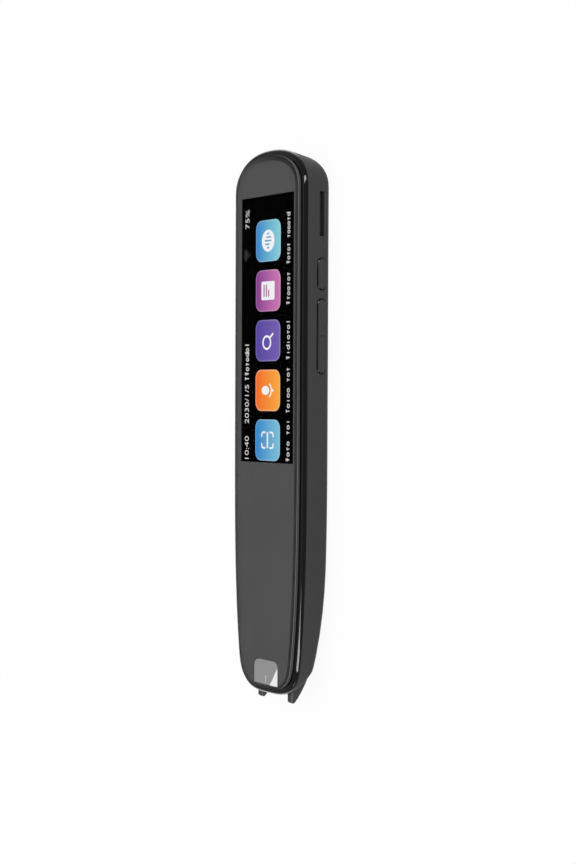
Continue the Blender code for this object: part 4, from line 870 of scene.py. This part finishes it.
class PEN_OT_display(bpy.types.Operator):
    """Finishes the display's black face"""

    bl_idname = "pen.display"
    bl_label = "Display"

    def execute(self, context):
        display = copy_of_node("display_module", "display_panel")
        soften(display, width=0.1 * MM)
        black = polished("display_black", (0.0006, 0.0006, 0.0006), rough=0.3, specular=0.0)
        hand_over(display, "case", "display_black", [black], "display_module")
        return {"FINISHED"}


# Each tile's colours at its left and its right, from the top tile down
TILE_COLOURS = (
    ((0.030, 0.240, 0.600), (0.260, 0.660, 0.740)),
    ((0.250, 0.047, 0.290), (0.650, 0.200, 0.495)),
    ((0.095, 0.062, 0.356), (0.185, 0.125, 0.460)),
    ((0.920, 0.150, 0.022), (1.000, 0.420, 0.060)),
    ((0.028, 0.240, 0.620), (0.210, 0.560, 0.720)),
)

# The middle of the tiles across the pen, the width of a tile's light border and of the step inside it, and
# how thick a layer of the menu is
TILE_ROW = -0.1 * MM
TILE_BORDER = 0.22 * MM
TILE_STEP = 0.12 * MM
PIXEL_LIFT = 0.03 * MM


def tile_places(settings):
    """The middle of each menu tile, from the top down."""
    steps = range(len(TILE_COLOURS))
    return [(TILE_ROW, settings.first_tile - settings.tile_pitch * number) for number in steps]


def lit_layer(number):
    """The heights between which a layer of the menu lies."""
    low = SCREEN_HIGH.z + SAME_PLACE / 4 + PIXEL_LIFT * number
    return low, low + PIXEL_LIFT


def paler(colour, share, grey):
    """The colour with a share of a grey in it."""
    return [(1 - share) * channel + share * grey for channel in colour]


class PEN_OT_tiles(bpy.types.Operator):
    """Makes the five rounded menu tiles, each with a thin light border"""

    bl_idname = "pen.tiles"
    bl_label = "Menu Tiles"

    def execute(self, context):
        settings = context.scene.pen_menu
        half = settings.tile_size / 2
        low, high = lit_layer(0)
        tiles = zip(tile_places(settings), TILE_COLOURS)
        for number, ((x, y), (left, right)) in enumerate(tiles, 1):
            name = f"menu_tile_{number}"
            across, along = (x - half, x + half), (y - half, y + half)
            tile = rounded_plate(name, across, along, settings.tile_radius, low, high, steps=10)
            edit(tile)
            pick_faces(tile, lambda face: face.normal.z > UP)
            bpy.ops.mesh.inset(thickness=TILE_BORDER, depth=0, use_even_offset=True)
            bpy.ops.mesh.inset(thickness=TILE_STEP, depth=-PIXEL_LIFT / 3, use_even_offset=True)
            leave_edit()
            fill = lit(f"{name}_fill", left, right, *across, settings.glow)
            pale = paler(left, 0.2, max(right)), paler(right, 0.15, 0.95)
            border = lit(f"{name}_border", *pale, *across, settings.glow)
            on_screen(tile, border, fill)
            give_slot(tile, 1, lambda face: face.normal.z > UP and face.area > half * half)
        return {"FINISHED"}


def point(place, x, y):
    """The point that lies x and y millimetres from a place."""
    return place[0] + x * MM, place[1] + y * MM


def strokes(place, lines, layer):
    """Straight strokes, each (x0, y0, x1, y1, width) in millimetres from a place."""
    made = []
    for number, (x0, y0, x1, y1, width) in enumerate(lines):
        start, end = point(place, x0, y0), point(place, x1, y1)
        made.append(bar(f"stroke_{number}", start, end, width * MM, *lit_layer(layer)))
    return made


class PEN_OT_symbols(bpy.types.Operator):
    """Draws a plain white symbol on each tile: sound, page, lens, microphone and scan frame"""

    bl_idname = "pen.symbols"
    bl_label = "Menu Symbols"

    def execute(self, context):
        settings = context.scene.pen_menu
        half = settings.tile_size / 2
        white = lit("symbol_white", (0.92, 0.93, 0.95), strength=settings.glow)
        makers = (self.sound, self.page, self.lens, self.microphone, self.scan_frame)
        tiles = zip(makers, tile_places(settings), TILE_COLOURS)
        for number, (maker, place, (left, right)) in enumerate(tiles, 1):
            name = f"menu_symbol_{number}"
            on_white, in_tint = maker(place)
            on_screen(join_all(name, on_white), white)
            if in_tint:
                across = (place[0] - half, place[0] + half)
                tint = lit(f"symbol_tint_{number}", shade(left, 0.8), shade(right, 0.8), *across)
                on_screen(join_all(f"{name}_detail", in_tint), tint)
        return {"FINISHED"}

    def sound(self, place):
        plate = disc("plate", place, (2.85 * MM, 2.95 * MM), *lit_layer(1))
        lines = [
            (-0.3, 1.9, 0.3, 1.9, 0.4), (-0.6, 0.95, 1.2, 0.95, 0.4), (-1.3, 0, 1.3, 0, 0.4),
            (-1.1, -0.95, 0.4, -0.95, 0.4), (-0.3, -1.9, 0.3, -1.9, 0.4),
        ]
        return [plate], strokes(place, lines, 2)

    def page(self, place):
        x, y = place
        wide, tall, corner = 2.95 * MM, 2.5 * MM, 0.35 * MM
        sheet = rounded_plate("sheet", (x - wide, x + wide), (y - tall, y + tall), corner, *lit_layer(1))
        lines = [
            (-1.75, -1.45, -1.75, 1.45, 0.45), (-0.7, -1.45, -0.7, 1.45, 0.45),
            (0.35, -1.45, 0.35, 0.05, 0.45),
        ]
        return [sheet], strokes(place, lines, 2)

    def lens(self, place):
        ring = thin_ring("ring", point(place, -0.45, -0.55), 1.45 * MM, 1.98 * MM, *lit_layer(1))
        return [ring, *strokes(place, [(0.9, 0.72, 2.25, 1.75, 0.55)], 1)], []

    def microphone(self, place):
        layer = lit_layer(1)
        made = [disc("capsule", point(place, -1.0, 0), (1.7 * MM, 1.2 * MM), *layer)]
        for name, first, last in (("holder", 0, 62), ("other_holder", 298, 360)):
            made.append(thin_ring(name, point(place, -0.25, 0), 1.75 * MM, 2.2 * MM, *layer, first, last))
        return [*made, *strokes(place, [(1.9, 0, 2.3, 0, 0.7)], 1)], []

    def scan_frame(self, place):
        low, high = lit_layer(1)
        centre = (*place, low)
        wide, tall, corner, line = 2.8 * MM, 2.35 * MM, 0.9 * MM, 0.5 * MM
        gap = (0.95 * MM, 0.85 * MM)
        clear_selection()
        bpy.ops.mesh.primitive_plane_add(size=1, location=centre)
        bpy.ops.object.mode_set(mode="EDIT")
        bpy.ops.transform.resize(value=(2 * wide, 2 * tall, 1), center_override=centre)
        bpy.ops.mesh.bevel(offset=corner, segments=5, affect="VERTICES")
        bpy.ops.mesh.inset(thickness=line, depth=0, use_even_offset=True)
        bpy.ops.mesh.delete(type="FACE")
        for normal, reach in (((1, 0, 0), gap[0]), ((0, 1, 0), gap[1])):
            for side in (-1, 1):
                bpy.ops.mesh.select_all(action="SELECT")
                at = Vector(centre) + Vector(normal) * reach * side
                bpy.ops.mesh.bisect(plane_co=at, plane_no=normal)

        def in_gap(face):
            here = middle(face)
            return abs(here.x) < gap[0] - SAME_PLACE or abs(here.y) < gap[1] - SAME_PLACE

        pick_faces(bpy.context.object, in_gap)
        bpy.ops.mesh.delete(type="FACE")
        corners = drawn_up("corners", low, high)
        return [corners, *strokes(place, [(0, -1.95, 0, 1.95, 0.6)], 1)], []


# The status row: its top and foot across the pen, and where each text and the day start and end along it
STATUS_TOP, STATUS_FOOT = -10.6 * MM, -8.8 * MM
STATUS_TEXTS = (
    ("clock", -10.1 * MM, -3.9 * MM),
    ("date", -0.4 * MM, 10.2 * MM),
    ("charge", 52.8 * MM, 57.9 * MM),
)
STATUS_DAY = (11.2 * MM, 21.7 * MM)

# The wireless mark: its middle, its dot's radius, its arcs' radii and half the width of an arc
MARK_PLACE = (-8.6 * MM, 45.6 * MM)
MARK_DOT = 0.3 * MM
MARK_ARCS = (0.95 * MM, 1.65 * MM, 2.35 * MM)
MARK_LINE = 0.18 * MM

# The labels: their top and foot across the pen, and each one's pattern of strokes and rings, and its two ends
LABEL_TOP, LABEL_FOOT = 8.2 * MM, 9.7 * MM
LABELS = (
    ("Borot rocord", 42.05 * MM, 55.8 * MM),
    ("Brcorot", 31.2 * MM, 40.1 * MM),
    ("Bidioroj", 16.65 * MM, 27.5 * MM),
    ("Toico ror", 2.45 * MM, 14.9 * MM),
    ("Boro rol", -10.5 * MM, 1.0 * MM),
)

# Shares of a capital's height: a low letter, and a stroke's width. Shares of a letter's step along the row:
# half a round letter, half a cross stroke and half a foot. Share of a ring's radius: its hole
LOW_LETTER = 0.74
STROKE_WIDTH = 0.14
HALF_ROUND = 0.42
HALF_CROSS = 0.22
HALF_FOOT = 0.2
RING_HOLE = 0.62


def letter_blocks(name, pattern, start, end, top, foot):
    """A word blocked out with strokes and rings, so that nothing can be read in it. Capitals are tall."""
    layer = lit_layer(0)
    tall = foot - top
    low_tall = tall * LOW_LETTER
    step = (end - start) / len(pattern)
    width = tall * STROKE_WIDTH
    base = foot - width / 2
    made = []
    for number, kind in enumerate(pattern):
        if kind == " ":
            continue
        y = start + step * (number + 0.5)
        height = tall if kind.isupper() or kind in "dj" else low_tall
        head = foot - height + width / 2
        if kind in "ocd":
            ring = thin_ring(f"round_{number}", (0, 0), RING_HOLE, 1, *layer, sides=24)
            ring.scale = (low_tall / 2, step * HALF_ROUND, 1)
            ring.location = (foot - low_tall / 2, y, 0)
            made.append(settle(ring))
            if kind == "d":
                stem = y + step * HALF_ROUND
                made.append(bar(f"stem_{number}", (top, stem), (base, stem), width, *layer))
            continue
        made.append(bar(f"stem_{number}", (head, y), (base, y), width, *layer))
        crosses = []
        if kind.lower() in "tbr":
            crosses.append((f"cross_{number}", head, step * HALF_CROSS))
        if kind == "B":
            crosses.append((f"foot_{number}", foot - height / 2, step * HALF_FOOT))
        for cross, x, reach in crosses:
            made.append(bar(cross, (x, y - reach), (x, y + reach), width, *layer))
    return join_all(name, made)


class PEN_OT_status(bpy.types.Operator):
    """Writes the status row: clock, date, a blocked-out day, charge and the dim wireless mark"""

    bl_idname = "pen.status"
    bl_label = "Status Row"

    def execute(self, context):
        settings = context.scene.pen_menu
        white = lit("status_white", (0.80, 0.80, 0.81), strength=settings.glow)
        dim = lit("status_dim", (0.045, 0.045, 0.046), strength=settings.glow)
        rows = (STATUS_TOP, STATUS_FOOT)
        layer = lit_layer(0)
        for name, start, end in STATUS_TEXTS:
            on_screen(writing(f"status_{name}", getattr(settings, name), start, end, *rows, *layer), white)
        on_screen(letter_blocks("status_day", "TBorcdoj", *STATUS_DAY, *rows), white)
        arcs = [disc("dot", MARK_PLACE, (MARK_DOT, MARK_DOT), *layer, sides=16)]
        for number, radius in enumerate(MARK_ARCS):
            inner, outer = radius - MARK_LINE, radius + MARK_LINE
            arcs.append(thin_ring(f"arc_{number}", MARK_PLACE, inner, outer, *layer, 135, 225))
        on_screen(join_all("status_wireless", arcs), dim)
        return {"FINISHED"}


class PEN_OT_labels(bpy.types.Operator):
    """Blocks out the label beside each tile"""

    bl_idname = "pen.labels"
    bl_label = "Menu Labels"

    def execute(self, context):
        settings = context.scene.pen_menu
        white = lit("label_white", (0.80, 0.80, 0.81), strength=settings.glow)
        for number, (pattern, start, end) in enumerate(LABELS, 1):
            name = f"menu_label_{number}"
            on_screen(letter_blocks(name, pattern, start, end, LABEL_TOP, LABEL_FOOT), white)
        return {"FINISHED"}


# Where the painted glow of the scanning mouth starts on the sight block's slanted face and on its end wall,
# each place measured along a direction of its own
MOUTH_GLOW = (("sight_mouth", -2.9 * MM, (1, 0, 0)), ("sight_edge", -9.1 * MM, (1, 0, -1.124)))

# The guide line's two ends, from the block's end at the tip
GUIDE_LINE = (0.1 * MM, 2.4 * MM)

# How far a normal rises on the block's clear top, and how far the slanted face's leans to the tip
BLOCK_TOP = 0.7
BLOCK_SLANT = 0.3


class PEN_OT_sight(bpy.types.Operator):
    """Makes the clear sight block at the tip, with frosted walls, a slanted face and an end wall that are
    given a painted glow, and its guide line
    """

    bl_idname = "pen.sight"
    bl_label = "Sight Block"

    def execute(self, context):
        settings = context.scene.pen_front
        block = copy_of_node("sight_block", "sight_window")
        wall_glow, bright = settings.window_glow_colour, settings.mouth_glow_colour
        through = clear("sight_clear", (0.97, 0.97, 0.97), head_on=0.01, steepness=7)
        # Painted glow: the frosted walls are given a grey light of their own, without shading
        finishes = [through, lit("sight_frost", wall_glow)]
        # Painted glow on the slanted face and the end wall, turning brighter where the mouth starts
        for name, start, across in MOUTH_GLOW:
            finishes.append(lit(name, wall_glow, bright, start - SAME_PLACE, start, across=across))
        hand_over(block, "case", "clear_plastic", finishes, "sight_block")
        weight_normals(block)
        give_slot(block, 1, lambda face: face.normal.z < BLOCK_TOP)
        give_slot(block, 2, lambda face: face.normal.z < -SIDE and face.normal.y < -BLOCK_SLANT)
        give_slot(block, 3, lambda face: face.normal.y < -UP)
        width = settings.mark_width
        low = BLOCK_HIGH.z - SAME_PLACE / 2
        line_y = [BLOCK_LOW.y + end for end in GUIDE_LINE]
        line_x = (-width / 2, width / 2)
        line = rounded_plate("sight_line", line_x, line_y, width * 0.4, low, low + SAME_PLACE, steps=3)
        paint = printed("sight_paint", (0.55, 0.55, 0.55), rough=0.5, specular=0.3)
        hand_over(line, "case", "clear_plastic", [paint])
        return {"FINISHED"}


class PEN_OT_skids(bpy.types.Operator):
    """Finishes the two skids on their carriage, with rounded runners"""

    bl_idname = "pen.skids"
    bl_label = "Skids"

    def execute(self, context):
        colour = context.scene.pen_case.skid_colour
        carriage = copy_of_node("nib_carriage", "skid_carriage")
        soften(carriage, width=0.45 * MM, segments=4)
        finish = moulded("skid_plastic", colour, rough=0.42, grain=3600, specular=0.35, strength=0.2)
        hand_over(carriage, "nib", "nib_plastic", [finish], "nib_carriage")
        return {"FINISHED"}


# The colour of bare steel
STEEL = (0.52, 0.52, 0.53)


class PEN_OT_spring(bpy.types.Operator):
    """Makes the spring behind the skids, with a mesh of its own"""

    bl_idname = "pen.spring"
    bl_label = "Skid Spring"

    def execute(self, context):
        coil = copy_of_node("nib_spring", "skid_spring")
        hand_over(coil, "case", "steel", [metal("spring_steel", STEEL, rough=0.3)], "nib_spring")
        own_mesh(coil)
        return {"FINISHED"}


class PEN_OT_keys(bpy.types.Operator):
    """Finishes the power key and the volume rocker, with softly rounded edges that are painted near black as
    shade, and walls in painted shade
    """

    bl_idname = "pen.keys"
    bl_label = "Side Keys"

    def execute(self, context):
        colour = context.scene.pen_case.key_colour
        finish = moulded("key_plastic", colour, rough=0.4, grain=3600, specular=0.25, strength=0.2)
        # Painted shade: the rounded edges are near black, so that they read as a dark outline
        edge = polished("key_edge", (0.003, 0.003, 0.003), rough=0.14, specular=0.25)
        gap = key_gap("key_gap", grain=3600)
        for node, name, body in KEYS:
            key = copy_of_node(node, name)
            soften(key, KEY_ROUND, segments=3)
            hand_over(key, body, "key_plastic", [finish, edge, gap], node)
            give_slot(key, 1, lambda face: KEY_WALL < face.normal.x < KEY_FACE)
            # Painted shade: the key's walls are near black
            give_slot(key, 2, lambda face: face.normal.x <= KEY_WALL)
        return {"FINISHED"}


class PEN_OT_inside(bpy.types.Operator):
    """Gives every part inside the pen its own finish"""

    bl_idname = "pen.inside"
    bl_label = "Inside Parts"

    def execute(self, context):
        steel = metal("steel", STEEL, rough=0.3)
        zinc = metal("socket_steel", (0.5, 0.5, 0.51), rough=0.28, grain=1800, stretch=(1, 0.1, 1))
        board = laminate("board_green", (0.012, 0.07, 0.035), copper=(0.02, 0.12, 0.055))
        chip = moulded("chip_black", (0.012, 0.012, 0.013), rough=0.5, grain=4200, specular=0.4)
        black = moulded("socket_black", (0.009, 0.009, 0.01), rough=0.45, grain=3400, specular=0.4)
        white = moulded("plunger_white", (0.62, 0.62, 0.6), rough=0.4, grain=3000, specular=0.4)
        lamp = moulded("lamp_white", (0.75, 0.74, 0.62), rough=0.3, grain=2400, specular=0.5)
        amber = ribbon("flex_amber", (0.30, 0.12, 0.02), copper=(0.42, 0.2, 0.05))
        finishes = {
            steel: ("shield_can", "key_stiffener", "rocker_pin", "rocker_cradle", "case_screw",
                    "board_screw"),
            zinc: ("charging_socket",),
            board: ("main_board", "camera_board", "key_board", "top_board"),
            chip: ("processor", "memory_chip", "power_chip", "camera_housing", "microphone", "speaker"),
            black: ("display_socket", "battery_socket", "socket_tongue", "tip_switch", "power_switch",
                    "volume_up_switch", "volume_down_switch"),
            white: ("tip_switch_plunger", "power_plunger", "volume_up_plunger", "volume_down_plunger"),
            lamp: ("left_lamp", "right_lamp"),
            amber: ("display_flex", "camera_flex", "battery_lead", "antenna"),
            sponge("foam_black", (0.02, 0.02, 0.02)): ("display_foam",),
            foil("cell_foil", (0.42, 0.43, 0.44)): ("battery",),
            woven("mesh_black", (0.008, 0.008, 0.008)): ("speaker_mesh",),
            polished("lens_glass", (0.02, 0.022, 0.035), rough=0.05, specular=0.8): ("camera_lens",),
        }
        finish_of = {name: finish for finish, names in finishes.items() for name in names}
        replaced = {node for obj in bpy.data.objects for node in obj.get("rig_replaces", ())}
        for node, obj in frame["nodes"].items():
            if node in replaced:
                continue
            kind = node.rstrip("_0123456789")
            if kind not in finish_of:
                raise RuntimeError(f"{node} has no finish of its own")
            for slot in obj.material_slots:
                slot.material = finish_of[kind]
        return {"FINISHED"}


# Each lamp's place, size, power setting and aim, and what it lights: all, matte skins only or gloss only
LAMPS = (
    ("overhead_lamp", (-0.10, 0.05, 0.8), (0.5, 0.5), "key_lamp", (0, 0, 0), "all"),
    ("end_lamp", (0.10, 0.55, 0.12), (0.22, 0.04), "end_lamp", (0, 0.06, 0), "matte"),
    ("tip_lamp", (0.18, -0.5, 0.05), (0.16, 0.05), "tip_lamp", (0, -0.07, 0), "all"),
    ("end_softbox", (1.18, 0.67, 0.7), (0.36, 1.44), "softbox", (0, 0.07, 0), "gloss"),
    ("tip_softbox", (1.19, -0.65, 0.7), (0.36, 1.44), "softbox", (0, -0.07, 0), "gloss"),
)

# The floor's size, and how near the camera sees
FLOOR_RADIUS = 3
FLOOR_DEPTH = 5 * MM
NEAREST_SEEN = 10 * MM


class PEN_OT_stage(bpy.types.Operator):
    """Sets the floor, the lamps, the sky and the camera"""

    bl_idname = "pen.stage"
    bl_label = "Stage"

    def execute(self, context):
        settings = context.scene.pen_stage
        self.floor(settings)
        for lamp in LAMPS:
            self.lamp(settings, *lamp)
        self.sky(context, settings)
        clear_selection()
        pose = Matrix((CAMERA_RIGHT, CAMERA_UP, CAMERA_BACK)).transposed()
        bpy.ops.object.camera_add(location=CAMERA_PLACE, rotation=pose.to_euler())
        camera = name_new("camera")
        camera.data.sensor_width = PHOTO_SENSOR
        camera.data.lens = PHOTO_FOCUS
        camera.data.clip_start = NEAREST_SEEN
        context.scene.camera = camera
        context.scene.view_settings.view_transform = "Standard"
        return {"FINISHED"}

    def floor(self, settings):
        """A pale disc that stays white to the eye, with a faint shadow on it."""
        clear_selection()
        place = (0, 0, -FLOOR_DEPTH)
        bpy.ops.mesh.primitive_circle_add(vertices=96, radius=FLOOR_RADIUS, fill_type="NGON", location=place)
        bpy.ops.object.mode_set(mode="EDIT")
        floor = drawn_up("floor", -FLOOR_DEPTH, 0)
        finish = Finish("floor_pale")
        tone = finish.mottle(finish.noise(40, 2.0), settings.floor_colour, 0.98, 1)
        finish.skin(Base_Color=tone, Roughness=0.9, Specular_IOR_Level=0.1)
        glow = finish.add("ShaderNodeEmission", Color=WHITE, Strength=1.0)
        share = finish.reckon("MULTIPLY", finish.seen(), 1 - settings.shadow_share)
        finish.two_shaders(share, finish.surface, glow.outputs["Emission"])
        floor.data.materials.append(finish.material)

    def lamp(self, settings, name, place, size, power, target, lights):
        clear_selection()
        aim = (Vector(target) - Vector(place)).to_track_quat("-Z", "Y").to_euler()
        bpy.ops.object.light_add(type="AREA", location=place, rotation=aim)
        lamp = name_new(name)
        lamp.data.shape = "RECTANGLE"
        lamp.data.size, lamp.data.size_y = size
        lamp.data.energy = getattr(settings, power)
        if lights == "matte":
            lamp.visible_glossy = False
        if lights == "gloss":
            lamp.visible_diffuse = lamp.visible_camera = False

    def sky(self, context, settings):
        """Even light on the pen, and plain white to the eye."""
        world = bpy.data.worlds.new("sky")
        world.use_nodes = True
        context.scene.world = world
        nodes = Nodes(world.node_tree)
        background = nodes.tree.nodes["Background"]
        nodes.feed(background.inputs["Color"], WHITE)
        nodes.feed(background.inputs["Strength"], nodes.between(nodes.seen(), settings.sky, 1, 0, 1))


class PEN_PT_panel(bpy.types.Panel):
    """Lists the pen's settings, and its pieces in the order in which they are made"""

    bl_idname = "PEN_PT_panel"
    bl_label = "Scanning Pen"
    bl_space_type = "VIEW_3D"
    bl_region_type = "UI"
    bl_category = "Scanning Pen"

    def draw(self, context):
        for name in GROUPS:
            group = getattr(context.scene, name)
            box = self.layout.box()
            for key in group.bl_rna.properties.keys():
                if key not in ("rna_type", "name"):
                    box.prop(group, key)
        for operator in OPERATORS:
            self.layout.operator(operator.bl_idname)


OPERATORS = (
    PEN_OT_case, PEN_OT_band, PEN_OT_panel, PEN_OT_display, PEN_OT_tiles, PEN_OT_symbols, PEN_OT_status,
    PEN_OT_labels, PEN_OT_cover, PEN_OT_sight, PEN_OT_skids, PEN_OT_spring, PEN_OT_keys, PEN_OT_inside,
    PEN_OT_stage,
)
GROUPS = {
    "pen_case": PenCaseSettings, "pen_front": PenFrontSettings, "pen_menu": PenMenuSettings,
    "pen_stage": PenStageSettings,
}


def register():
    for name, group in GROUPS.items():
        bpy.utils.register_class(group)
        setattr(bpy.types.Scene, name, bpy.props.PointerProperty(type=group))
    for cls in (*OPERATORS, PEN_PT_panel):
        bpy.utils.register_class(cls)


def unregister():
    for cls in reversed((*OPERATORS, PEN_PT_panel)):
        bpy.utils.unregister_class(cls)
    for name, group in reversed(GROUPS.items()):
        delattr(bpy.types.Scene, name)
        bpy.utils.unregister_class(group)


def main():
    register()
    bpy.ops.pen.case()
    bpy.ops.pen.band()
    bpy.ops.pen.panel()
    bpy.ops.pen.display()
    bpy.ops.pen.tiles()
    bpy.ops.pen.symbols()
    bpy.ops.pen.status()
    bpy.ops.pen.labels()
    bpy.ops.pen.cover()
    bpy.ops.pen.sight()
    bpy.ops.pen.skids()
    bpy.ops.pen.spring()
    bpy.ops.pen.keys()
    bpy.ops.pen.inside()
    bpy.ops.pen.stage()


if __name__ == "__main__":
    main()
